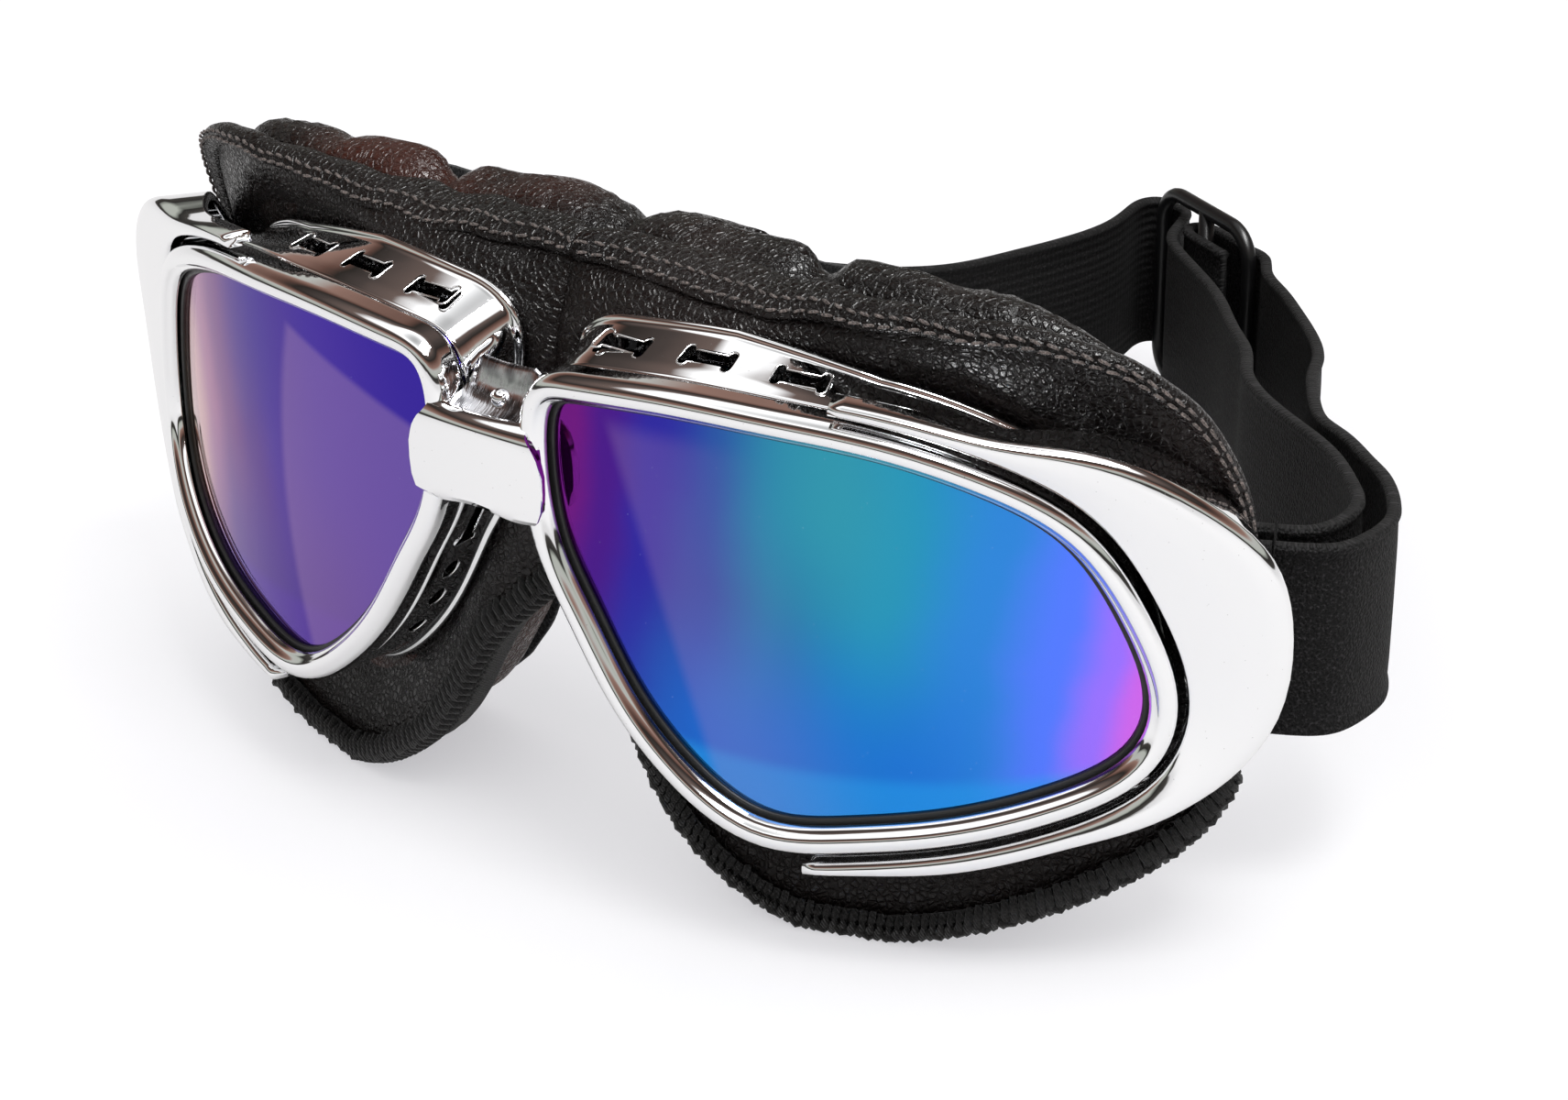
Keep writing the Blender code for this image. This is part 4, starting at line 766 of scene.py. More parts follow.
def lens(side_name, side):
    """A bent sheet: loops that grow from its middle behind, go round its rim and shrink to its middle in front."""
    middle = np.array((WINDOW_START + WINDOW_LENGTH * 0.52, WINDOW_LOW + WINDOW_HEIGHT * 0.53))
    rim = WINDOW + WINDOW_NORMALS * (BEZEL_WIDTH - RIM_INSET)
    shares = (1.0, 0.93, 0.84, 0.72, 0.58, 0.42, 0.25, 0.1)
    loops = [with_h(middle + (rim - middle) * share, LENS_BACK) for share in reversed(shares)]
    loops += [with_h(middle + (rim - middle) * share, LENS_FRONT) for share in shares]
    made = skin(f"mirror_lens_{side_name}", wrapped(loops), f"{side_name}_lens", side)
    mapped(made, [lens_place(vertex.co, side) for vertex in made.data.vertices])
    return rides_half(made, side_name, "mirrored_lens", "lens")


def lens_place(point, side):
    """Shares along and up the window of a point on the face."""
    x, y = point.x * side, point.y - FACE_Y - WRAP_RADIUS
    s = x if x < FLAT_HALF else FLAT_HALF + WRAP_RADIUS * math.atan2(x - FLAT_HALF, -y)
    return (s - WINDOW_START) / WINDOW_LENGTH, (point.z - WINDOW_LOW) / WINDOW_HEIGHT


def bezel(side_name, side):
    """The rounded ring that holds the lens."""
    width, depth, inner = BEZEL_WIDTH, BEZEL_DEPTH, BEZEL_WIDTH - 0.001
    profile = (
        (0.0, -0.0012), (0.0002, -0.0005), (0.0007, -0.0001), (width * 0.32, 0.0006), (width * 0.6, 0.0008),
        (width * 0.86, 0.0003), (width, -0.0009), (width, -depth), (inner, -depth), (inner, -BEZEL_LIP),
        (0.0003, -BEZEL_LIP),
    )
    made = window_ring(f"bezel_{side_name}", filleted(profile, 0.0006), "chrome", side)
    return rides_half(made, side_name, "chrome_bezel", "lens_bezel")


def gasket(side_name, side):
    """The thin black line between lens and bezel."""
    profile = filleted(((-0.0005, -0.0017), (0.0022, -0.0017), (0.0022, -0.0023), (-0.0005, -0.0023)), 0.0002, 2)
    made = window_ring(f"gasket_{side_name}", profile, "rubber", side)
    return rides_half(made, side_name, "rubber_gasket", "lens_gasket")


def wall_flare(h):
    """How far the eyecup's wall has spread at a depth, above the lens."""
    return 0.0021 * np.clip((-h - 0.0052) / 0.0073, 0, 1)


def slot_outline(length):
    """A vent's outline turned round once: a long slot has a bar across each end, and a short one is oval."""
    half, bar, body = length / 2, 0.0014, 0.0011
    if length < OVAL_LENGTH:
        angles = np.arange(16) * math.pi / 8
        return np.column_stack((half * np.cos(angles), bar * np.sin(angles)))
    outline = []
    for level, start in ((-body, 180), (body, 0)):
        for step in range(7):
            angle = math.radians(start + 30 * step)
            outline.append((half - bar / 2 + bar / 2 * math.cos(angle), level + bar / 2 * math.sin(angle)))
    return np.array(outline + [(-along, -level) for along, level in outline])


def vents():
    """Each vent's outline, its middle and way along as (s, z), and whether the wall spreads there."""
    top = WINDOW[:, 1].max() + CUP_REACH
    made = [(slot_outline(length), (s, top - drop), (1, slope), 1) for s, drop, slope, length in UPPER_VENTS]
    nose = (WINDOW[:, 0] < WINDOW_START + WINDOW_LENGTH / 2) & (WINDOW[:, 1] < WINDOW_LOW + WINDOW_HEIGHT * 0.8)
    for z, length in NOSE_VENTS:
        nearest = int(np.argmin(np.where(nose, np.abs(WINDOW[:, 1] - z), np.inf)))
        along = WINDOW[(nearest + 1) % len(WINDOW)] - WINDOW[nearest - 1]
        made.append((slot_outline(length), WINDOW[nearest] + WINDOW_NORMALS[nearest] * CUP_REACH, along, 0))
    return made


def slot_places(outline, middle, along, flare, reach):
    """A vent's outline on the eyecup's wall, this far out from it."""
    along = np.asarray(along) / np.linalg.norm(along)
    aside = np.array((-along[1], along[0]))
    aside = aside if aside @ (np.asarray(middle) - WINDOW.mean(0)) > 0 else -aside
    depths = outline[:, 1] - VENT_DEPTH
    flat = np.asarray(middle) + outline[:, :1] * along + (reach + wall_flare(depths) * flare)[:, None] * aside
    return wrapped(np.column_stack((flat, depths)))


def eyecup(side_name, side):
    """The flaring shell behind the bezel, with its vents and its rolled rear lip."""
    edge = CUP_REACH
    profile = (
        (0.0003, -FRAME_FRONT), (edge, -FRAME_FRONT), (edge + 0.0002, -FRAME_WAIST), (edge + 0.0005, -0.0125),
        (edge + 0.0012, -0.0128), (edge + 0.0013, -0.0133), (edge + 0.0009, -FRAME_DEPTH),
        (edge - 0.0009, -FRAME_DEPTH), (edge - 0.0013, -FRAME_WAIST), (0.0003, -FRAME_WAIST),
    )
    fine = finely(filleted(profile, 0.0004, 3), 0.0009)
    places, spread_end, fade = np.arange(len(WINDOW)), 38, 12
    spread = (np.clip((places + 1) / STEPS, 0, 1) * np.clip((spread_end - places) / fade, 0, 1))[:, None]
    made = window_ring(f"eyecup_{side_name}", fine, "chrome", side, spread)
    for vent in vents():
        ends = [slot_places(*vent, reach) for reach in (-0.003, 0.0026)]
        cut(made, skin("cutter", ends, "chrome", side))
    return rides_half(made, side_name, "chrome_frame", "eyecup_frame")


def vent_rims(side_name, side):
    """A thin rounded rim round each vent."""
    rims = []
    for vent in vents():
        rim = slot_places(*vent, 0.00012)
        rims.append(np.concatenate((rim, rim[:2])) * (side, 1, 1))
    made = threads(f"vent_rims_{side_name}", rims, 0.00013, "chrome", 8)
    return rides_half(made, side_name, "chrome_frame")


def leather_sleeve(side_name, side):
    """The leather inside the eyecup, seen through the vents."""
    profile = filleted(((0.0004, -0.0068), (0.0014, -0.0068), (0.0014, -0.0137), (0.0004, -0.0137)), 0.0002, 2)
    made = window_ring(f"leather_sleeve_{side_name}", profile, "leather", side)
    return rides_half(made, side_name, "pebbled_leather")


def temple_cover(side_name, side):
    """The shell round the outer side of the bezel, with a crowned face and a thick rounded rim."""
    half, first = 9, 4
    kernel = np.exp(-((np.arange(-half, half + 1) / 4) ** 2))
    kernel /= kernel.sum()
    reaches, flares, walls = (
        np.convolve(np.pad(eased(shares, closed=False), half, "edge"), kernel, "valid") * scale
        for shares, scale in (
            (COVER_REACH_SHARES, COVER_REACH), (COVER_FLARE_SHARES, COVER_FLARE), (COVER_WALL_SHARES, -COVER_DEPTH),
        )
    )
    inner, sections = BEZEL_WIDTH + 0.0009, []
    for place in range(first, len(reaches) - first):
        reach, flare, depth = reaches[place], flares[place], walls[place]
        width, lining = reach - inner, reach - COVER_SHELL
        profile = (
            (inner, -0.0023), (inner, -0.0002), (inner + width * 0.2, flare * 0.12 + 0.0002),
            (inner + width * 0.5, flare * 0.42 + 0.0004), (inner + width * 0.8, flare * 0.8 + 0.0002),
            (inner + width * 0.94, flare * 0.97 - 0.0004), (reach, flare - 0.0014), (reach, depth),
            (lining, depth), (lining, flare - 0.0026), (inner + width * 0.45, flare * 0.35 - 0.0023),
        )
        edge, normal = WINDOW[COVER_POINT * STEPS + place], WINDOW_NORMALS[COVER_POINT * STEPS + place]
        sections.append([(*(edge + normal * distance), h) for distance, h in filleted(profile, 0.0005, 3)])
    made = skin(f"cover_{side_name}", wrapped(sections), "chrome", side)
    return rides_half(made, side_name, "chrome_cover", "temple_cover")


# The bridge
PLATE_HEIGHTS = (0.0513, 0.052, 0.0535, 0.0555, 0.0578, 0.0598, 0.0612, 0.0622, 0.064)
PLATE_HALVES = (0.0084, 0.0093, 0.0099, 0.0101, 0.0101, 0.0096, 0.0088, 0.0078, 0.007)


def from_end_to_end(count):
    """Shares from -1 to 1, closer together towards both ends."""
    return np.sin(np.linspace(-math.pi / 2, math.pi / 2, count))


def cover_plate():
    """The bare plate in front: bulging sides, a top edge rolled back and a lower edge with two soft lobes."""
    front, thick, roll, top = FACE_Y - 0.0024, 0.0011, 0.0019, 0.0614
    sections = []
    for across in from_end_to_end(33):
        wall = thick * (0.25 + 0.75 * min((1 - abs(across)) / 0.02, 1))
        low = 0.0517 + 0.0004 * math.cos(across * 3.9)
        face = front + 0.0009 * across**2
        outer, inner = [], []
        for step in range(15):
            share = step / 14
            z = low + (top - low) * share
            soft = 0.0005 * (1 - min(share / 0.06, 1)) ** 2
            outer.append((face + soft, z))
            inner.append((face + max(wall, soft + 0.0002), z))
        for step in range(1, 9):
            turn = math.radians(112) * step / 8
            for line, radius in ((outer, roll), (inner, max(roll - wall, 0.0003))):
                line.append((face + roll - radius * math.cos(turn), top + radius * math.sin(turn)))
        sections.append([
            (across * np.interp(z, PLATE_HEIGHTS, PLATE_HALVES), y, z) for y, z in (*outer, *reversed(inner))
        ])
    made = skin("cover_plate", sections, "plate", sharp=True)
    return stands_for(made, "bridge", "chrome_plate", "bridge_cover")


def saddle_tongue():
    """The saddle's tongue, with a lip turned up at its end."""
    profile = (
        (-0.001, 0.0608), (-0.0006, 0.0619), (0.0012, 0.0626), (0.0028, 0.0634), (0.0041, 0.0648), (0.0049, 0.0668),
        (0.0056, 0.0681), (0.0063, 0.0677), (0.0063, 0.0662), (0.0055, 0.0644), (0.0038, 0.0624), (0.0015, 0.0613),
    )
    profile = filleted(profile, 0.0006, 3)
    middle_y, middle_z = profile.mean(0)
    sections = []
    for across in from_end_to_end(25):
        slim = 0.35 + 0.65 * min((1 - abs(across)) / 0.06, 1)
        section = []
        for y, z in profile:
            half = 0.0056 - 0.0006 * min(max(y / 0.006, 0), 1)
            drop = 0.0004 * (1 - across**2) + 0.0009 * max(abs(across) - 0.8, 0) / 0.2 * (y > 0.004)
            low = middle_z + (z - middle_z) * slim - drop
            section.append((across * half, FACE_Y + middle_y + (y - middle_y) * slim, low))
        sections.append(section)
    made = skin("saddle_tongue", sections, "saddle", sharp=True)
    return stands_for(made, "bridge", "chrome_saddle")


def saddle_block():
    """The block between the eyecups."""
    corners = filleted(((-0.0049, -0.0002), (0.0049, -0.0002), (0.0049, 0.0031), (-0.0049, 0.0031)), 0.0006, 3)
    sections = [[(x, FACE_Y + y, z) for x, y in corners] for z in (0.0532, 0.0618)]
    made = skin("saddle_block", sections, "saddle", sharp=True)
    return stands_for(made, "bridge", "chrome_saddle", "bridge_saddle")


def hinge_barrel(side_name, side):
    """The saddle's barrel, which a hinge pin stands in."""
    ends = [(side * HINGE_X, HINGE_Y, z) for z in (0.0541, 0.0593)]
    made = piece(f"hinge_barrel_{side_name}", *tube(ends, 0.0019, 24), "steel", sharp=True)
    return stands_for(made, "bridge", "chrome_saddle")


def ball(name, middle, radius, *nodes):
    """A rivet's round head."""
    mesh = bpy.data.meshes.new(name)
    mixed = bmesh.new()
    bmesh.ops.create_uvsphere(mixed, u_segments=28, v_segments=16, radius=radius)
    mixed.to_mesh(mesh)
    mixed.free()
    mesh.transform(Matrix.Translation(middle))
    return stands_for(linked(name, mesh, "chrome"), "bridge", "steel_pin", *nodes)


# The leather
LEATHER_CROWN = np.array((0, 0, 0.0048))
BROW_Y, BROW_LOW, BROW_HEIGHT, BROW_DEPTH = FACE_Y + PAD_DEPTH + 0.0021, 0.0655, 0.0148, 0.0118


def leather_loop(distance, share):
    """A loop behind the eyecup, this far out from the window but no more than this share of the leather's width."""
    way = np.minimum(distance, PAD_REACH * share)
    return with_h(WINDOW + PAD_WAY * way[:, None], -FRAME_DEPTH - 0.0002)


LEATHER_INNER, LEATHER_LIP = leather_loop(0.003, 0.3), leather_loop(FRAME_LIP + 0.001, 0.6)


def crowned(lip, edge, share):
    """What lies this share of the way from the leather's lip to its outer edge, over its crown."""
    return lip * (1 - share) + edge * share + LEATHER_CROWN * share * (1 - share)


def valley(points):
    """How far forward the leather comes in the middle, so that its two sides meet in a soft bend."""
    x, _, z = np.moveaxis(np.asarray(points, float), -1, 0)
    return 0.0024 * np.exp(-np.abs(x) / 0.0018) * np.clip((z - 0.04) / 0.014, 0, 1)


def brought_forward(points):
    """Points of the leather, moved forward to its bend in the middle."""
    moved = np.array(points, float)
    moved[..., 1] -= valley(moved)
    return moved


def leather_skirt(side_name, side):
    """The leather round an eyecup, which runs on to the middle over the nose."""
    front = [LEATHER_INNER] + [crowned(LEATHER_LIP, PAD_EDGE, step / 11) for step in range(12)]
    loops = front + [line - (0, 0, 0.0015) for line in reversed(front)]
    made = ring(f"leather_{side_name}", [brought_forward(wrapped(line)) for line in loops], "leather", side)

    def slack(point):
        above = min(max((point.z - 0.06) / 0.012, 0), 1)
        wide = lifted(point, 70, 0.0007) + lifted(point, 190, 0.00035)
        return (wide - 0.0002) * (0.35 + above * 0.65)

    creased(made, slack)
    flatten_middle(made)
    nodes = (f"leather_skirt_{side_name}", "nose_leather")
    return bends_over(made, side_name, -0.0755, 0.06, 0.009, "pebbled_leather", *nodes)


def cushion_back(outline, rise=0.0):
    """The outline at the depth where the cushion meets the face, brought this far forward."""
    share = outline[:, 0] / (PAD_START + PAD_LENGTH)
    return with_h(outline, rise - BACK_DEPTH_AT_NOSE - (BACK_DEPTH_AT_TEMPLE - BACK_DEPTH_AT_NOSE) * share)


def across_back(share):
    """An outline this share of the way from the back's edge to its opening."""
    return BACK_EDGE + (OPENING - BACK_EDGE) * share


def under_leather(way):
    """A loop of the cushion behind the leather, this far out from the window."""
    share = np.clip(way / PAD_REACH, 0, 1)[:, None]
    return with_h(WINDOW + PAD_WAY * way[:, None], crowned(LEATHER_LIP, PAD_EDGE, share)[:, 2] - 0.0029)


def tuck_at(s):
    """How deep the roll is drawn in at its two sewn tucks."""
    return 0.0034 * np.exp(-(((s - 0.0345) / 0.0035) ** 2)) + 0.001 * np.exp(-(((s - 0.058) / 0.004) ** 2))


def face_cushion(side_name, side):
    """The padded ring: a crowned roll above, drawn in at the seam and at its tucks, and flat at the face."""
    reach = eased(CUSHION_SHARES) * PAD_REACH
    outer = under_leather(reach)
    above = np.clip((outer[:, 1] - PAD_HEIGHT / 2) / (PAD_HEIGHT / 2), 0, 1) ** 2
    tuck = tuck_at(outer[:, 0]) * above
    crown = (with_h(BACK_EDGE, 0) + outer) / 2
    crown[:, 1] += 0.0026 * above - tuck
    crown[:, 2] = outer[:, 2] - 0.0075 * (outer[:, 1] / PAD_HEIGHT * 0.5 + 0.5)
    rise = outer.copy()
    rise[:, 1] += 0.001 * above - tuck * 0.7
    rise[:, 2] -= 0.0014
    shoulder = cushion_back(BACK_EDGE, 0.004)
    shoulder[:, 1] -= tuck
    loops = [
        under_leather(np.minimum(reach * 0.25, 0.003)), under_leather(reach * 0.6), rise, crown, shoulder,
        cushion_back(across_back(0.3), tuck), cushion_back(across_back(0.7)), cushion_back(OPENING, 0.004),
    ]
    sections = np.stack([clear_of_fold(wrapped(line)) for line in loops], 1)
    rounded = np.stack([spline(section, 4) for section in sections])
    made = skin(f"cushion_{side_name}", rounded, "roll", side, joined=True)

    def plump(point):
        x = abs(point.x)
        top = min(max((point.z - 0.066) / 0.01, 0), 1)
        gathers = 0.0
        for place, spread in ((0.033, 0.011), (0.0, 0.012), (0.055, 0.008)):
            away = (x - place) / spread
            gathers += math.exp(-away * away) * math.sin((x - place) * 2100 + point.y * 500 + place * 900)
        return lifted(point, 95, 0.0007) + lifted(point, 260, 0.00014) + gathers * 0.00013 * top

    creased(made, plump)
    return rides_half(made, side_name, "padded_leather", "face_cushion")


def face_lining(side_name, side):
    """The fleece pad at the back of the cushion, which rests on the face."""
    loops = []
    for share in (0.0, 0.25, 0.5, 0.75, 1.0):
        loops.append(cushion_back(across_back(0.1 + 0.8 * share), -0.0009 - 0.0009 * math.sin(math.pi * share)))
    loops += [line + (0, 0, 0.0007) for line in reversed(loops)]
    made = ring(f"lining_{side_name}", [clear_of_fold(wrapped(line)) for line in loops], "fleece", side)
    creased(made, lambda point: lifted(point, 300, 0.0002))
    return rides_half(made, side_name, "lining_fleece", "face_lining")


def brow_roll(side_name, side):
    """Half of the roll's middle, from the gather over the nose to inside the cushion."""
    section_shares = (
        (0.0, 0.3), (-0.05, 0.75), (0.12, 0.95), (0.45, 1.04), (0.85, 0.95), (1.06, 0.62), (1.0, 0.2), (0.5, 0.0),
    )
    sections = []
    for station in range(13):
        share = station / 12
        gathered = 0.0034 * (1 - share) ** 3
        section = []
        for depth_share, height_share in section_shares:
            y = BROW_Y + depth_share * BROW_DEPTH
            x = share * (fold_limit(y) + 0.0025)
            z = BROW_LOW + height_share * (BROW_HEIGHT - gathered - 0.0006 * share)
            section.append((x, y + gathered * 0.15 - float(valley((x, y, z))) * max(1 - depth_share, 0), z))
        sections.append(spline(section, 4))
    made = skin(f"brow_roll_{side_name}", sections, "roll", side)

    def gather(point):
        pleats = math.exp(-((point.x / 0.007) ** 2)) * math.sin(abs(point.x) * 2600 + point.y * 700)
        return (lifted(point, 95, 0.0006) + pleats * 0.0003) * min(abs(point.x) / 0.001, 1)

    creased(made, gather)
    flatten_middle(made)
    return bends_over(made, side_name, -0.0655, 0.07, 0.014, "padded_leather", "brow_pad")


def along_pad(first, last):
    """Numbers of the places on the pad's edge, from one of its points to another, counted from the nose."""
    return [place % len(PAD_EDGE) for place in range(int(first * STEPS), int(last * STEPS) + 1)]


def leather_at(place, share):
    """A point of the leather, between its lip (0) and its edge (1), at any place round it."""
    low = math.floor(place)
    part = place - low
    lip, edge = (
        line[low % len(line)] * (1 - part) + line[(low + 1) % len(line)] * part for line in (LEATHER_LIP, PAD_EDGE)
    )
    return crowned(lip, edge, share)


def on_leather(place, distance, rise):
    """A point this far in from the pad's edge, square to it, and this high over the leather there."""
    square = PAD_NORMALS[place] if place != STEPS else np.array((0, 1))
    wanted = PAD_EDGE[place, :2] - square * distance
    at, share = float(place), 1.0
    for _ in range(6):
        here = leather_at(at, share)
        slopes = np.column_stack((leather_at(at + 0.1, share) - here, leather_at(at, share + 0.01) - here))[:2]
        move = np.linalg.lstsq(slopes, wanted - here[:2], rcond=None)[0]
        at, share = at + 0.1 * np.clip(move[0], -15, 15), min(max(share + 0.01 * move[1], 0.2), 1.3)
    return np.array((*wanted, leather_at(at, share)[2] + rise))


def seam_waves(side):
    """The places along the seam, each with how far it strays from a true line."""
    places = along_pad(1, 9.6)
    return [(place, noise.noise(Vector((PAD_EDGE[place, 0] * 140, side * 7.0, 0))) * 0.0004) for place in places]


def seam_edge(side_name, side):
    """The raised edge where skirt and roll are sewn together."""
    profile = (
        (-0.0008, 0.0009), (0.0001, 0.0016), (0.0012, 0.0015), (0.0021, 0.0002), (0.0019, -0.001), (-0.0008, -0.0008),
    )
    profile = filleted(profile, 0.0006, 3)
    sections = []
    for place, wave in seam_waves(side):
        sections.append([on_leather(place, distance + wave, h) for distance, h in profile])
    made = skin(f"seam_edge_{side_name}", brought_forward(wrapped(sections)), "leather", side)
    return bends_over(made, side_name, -0.0725, 0.079, 0.009, "pebbled_leather")


def seam_stitches(side_name, side):
    """Two rows of slanting stitches on the seam, the rows out of step with each other."""
    pitch, stitch_steps, gap = 0.0003, 6, 1
    radii = (0.00012, 0.00019, 0.00021, 0.00021, 0.00019, 0.00012)
    for row, (distance, tilt) in enumerate(((0.0, 0.00015), (0.0009, -0.00015))):
        line = np.array([on_leather(place, distance + wave, 0.0018) for place, wave in seam_waves(side)])
        even = brought_forward(wrapped(evenly(line, pitch))) * (side, 1, 1)
        lines = []
        for first in range(row * stitch_steps // 2, len(even) - stitch_steps, stitch_steps + gap):
            stitch = even[first : first + stitch_steps].copy()
            onward = (stitch[-1] - stitch[0]) / np.linalg.norm(stitch[-1] - stitch[0])
            aside = np.cross(onward, (0, -0.5, 0.87))
            stitch += np.linspace(-1, 1, stitch_steps)[:, None] * aside * tilt
            stitch[(0, -1), :] += (0, 0.00025, -0.0002)
            lines.append(stitch)
        made = threads(f"seam_stitches_{side_name}_{row}", lines, radii, "seam")
        bends_over(made, side_name, -0.0725, 0.079, 0.009, "overlock_thread")


def overlock(side_name, side):
    """The lower edge: a bound band, thread cast over it, and a twisted thread along it."""
    places = along_pad(10.2, 18.4)
    edge, inwards = PAD_EDGE[places], -PAD_WAY[places]
    profile = ((0.0, 0.0009), (0.003, 0.0012), (0.003, 0.0002), (0.001, -0.0004), (0.001, -0.0062), (0.0, -0.0062))
    profile = filleted(profile, 0.0005, 3)
    sections = []
    for point, way in zip(edge, inwards):
        sections.append([(*(point[:2] + way * distance), point[2] + h) for distance, h in profile])
    band = skin(f"bound_edge_{side_name}", np.maximum(wrapped(sections), (0, -1, 0)), "overlock", side)
    creased(band, lambda point: lifted(point, 900, 0.0001))
    lines, rim = [], []
    for number, (s, z, h, way_s, way_z) in enumerate(evenly(np.column_stack((edge, inwards)), 0.00125)):
        at, way, along = np.array((s, z)), np.array((way_s, way_z)), np.array((way_z, -way_s))
        jitter = noise.noise(Vector((number * 0.73, side * 3.1, 1.7)))
        line = []
        for distance, level, slip in (
            (0.0033 + jitter * 0.0009, 0.0011, 0.0009), (0.0025, 0.0018, 0.0007), (0.0013, 0.0018, 0.0003),
            (0.0004, 0.0014, -0.0002), (-0.0002, 0.0002, -0.0003), (0.0, -0.0016, -0.0005),
        ):
            line.append((*(at + way * distance + along * (slip + jitter * 0.0002)), h + level))
        lines.append(np.maximum(wrapped(line), (0, -1, 0.0002)) * (side, 1, 1))
        twist = number * 2.4
        rim.append((*(at + way * (0.0008 + 0.0004 * math.sin(twist))), h + 0.0017 + 0.0004 * math.cos(twist)))
    radii = (0.0004, 0.00056, 0.0006, 0.0006, 0.00052, 0.0003)
    cast = threads(f"overlock_{side_name}", lines, radii, "overlock")
    twisted = threads(f"edge_thread_{side_name}", [wrapped(rim) * (side, 1, 1)], 0.00055, "overlock")
    for made, nodes in ((band, [f"edge_binding_{side_name}"]), (cast, []), (twisted, [])):
        bends_over(made, side_name, -0.0755, 0.03, 0.009, "overlock_thread", *nodes)


# The strap
LOOP_RADIUS = BAR_RADIUS + CLEAR + STRAP_THICKNESS / 2
LEG_WAY = np.array((math.cos(LEG_TURN), math.sin(LEG_TURN)))
LEG_OUT = np.array((math.sin(LEG_TURN), -math.cos(LEG_TURN)))
BAR_AT = wrapped((BAR_S, 0, -BAR_DEPTH))[:2]
SLIDER_AT = np.array((SLIDER_X, SLIDER_FROM_FACE + FACE_Y))
SLIDER_WAY = np.array((math.cos(SLIDER_TURN), math.sin(SLIDER_TURN)))
SLIDER_OUT = np.array((SLIDER_WAY[1], -SLIDER_WAY[0]))
PASS = SLIDER_THICKNESS / 2 + CLEAR + STRAP_THICKNESS / 2
STRAP_QUARTER = (
    (0.5, 0.0), (0.497, 0.36), (0.485, 0.56), (0.47, 0.6), (0.455, 0.5), (0.445, 0.4), (0.3, 0.46), (0.0, 0.48),
)
STRAP_FACE = STRAP_QUARTER + tuple((-v, t) for v, t in STRAP_QUARTER[-2::-1])
STRAP_PROFILE = STRAP_FACE + tuple((v, -t) for v, t in STRAP_FACE[-2:0:-1])


def from_slider(along, out):
    """A place seen from above, this far along the slider from its middle and out from it."""
    return SLIDER_AT + SLIDER_WAY * along + SLIDER_OUT * out


def from_bar(along, out):
    """A place seen from above, this far along the webbing from the left bar and out from it."""
    return BAR_AT + LEG_WAY * along + LEG_OUT * out


def placed(shares, start, end):
    """The points of a route's table, between its start and its end as seen from above."""
    along = end - start
    across = np.array((-along[1], along[0]))
    return [start + along * along_share + across * across_share for along_share, across_share in shares]


def half_turn(middle, out, onward):
    """Points of half a turn, from one side of its middle to the other."""
    angles = np.arange(9) * math.pi / 8
    return [middle + out * math.cos(angle) + onward * math.sin(angle) for angle in angles]


def band(names, route, start_z, end_z, finish, side=1, steps=7, parted_at=None):
    """Webbing on edge along a route seen from above. Two names part it in two, with no seam seen."""
    route = spline(route, steps, closed=False)
    along = np.gradient(route, axis=0)
    along /= np.linalg.norm(along, axis=1)[:, None]
    out = np.stack((along[:, 1], -along[:, 0]), -1)
    lengths = np.concatenate(([0], np.cumsum(np.linalg.norm(np.diff(route, axis=0), axis=1))))
    share = lengths / lengths[-1]
    middle = start_z + (end_z - start_z) * share**2 * (3 - 2 * share)
    sections = []
    for point, way, z in zip(route, out, middle):
        sections.append([(*(point + way * t * STRAP_THICKNESS), z + v * STRAP_WIDTH) for v, t in STRAP_PROFILE])
    spans = [(0, len(route))]
    if parted_at is not None:
        station = int(np.argmin(np.linalg.norm(route - parted_at, axis=1)))
        spans = [(0, station + 1), (station, len(route))]
    made = []
    for name, (first, last) in zip(names, spans):
        part = skin(name, sections[first:last], finish, side)
        mapped(part, [(length, v * STRAP_WIDTH) for length in lengths[first:last] for v, _ in STRAP_PROFILE])
        if parted_at is not None:
            crisp_ends(part)
        made.append(part)
    return made


def strap_piece(made, start_body, end_body, start, end, node):
    """Webbing with its place baked into its points, standing for this solid; the bodies and places are not used."""
    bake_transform(made)
    return settled(made, "elastic_webbing", node)


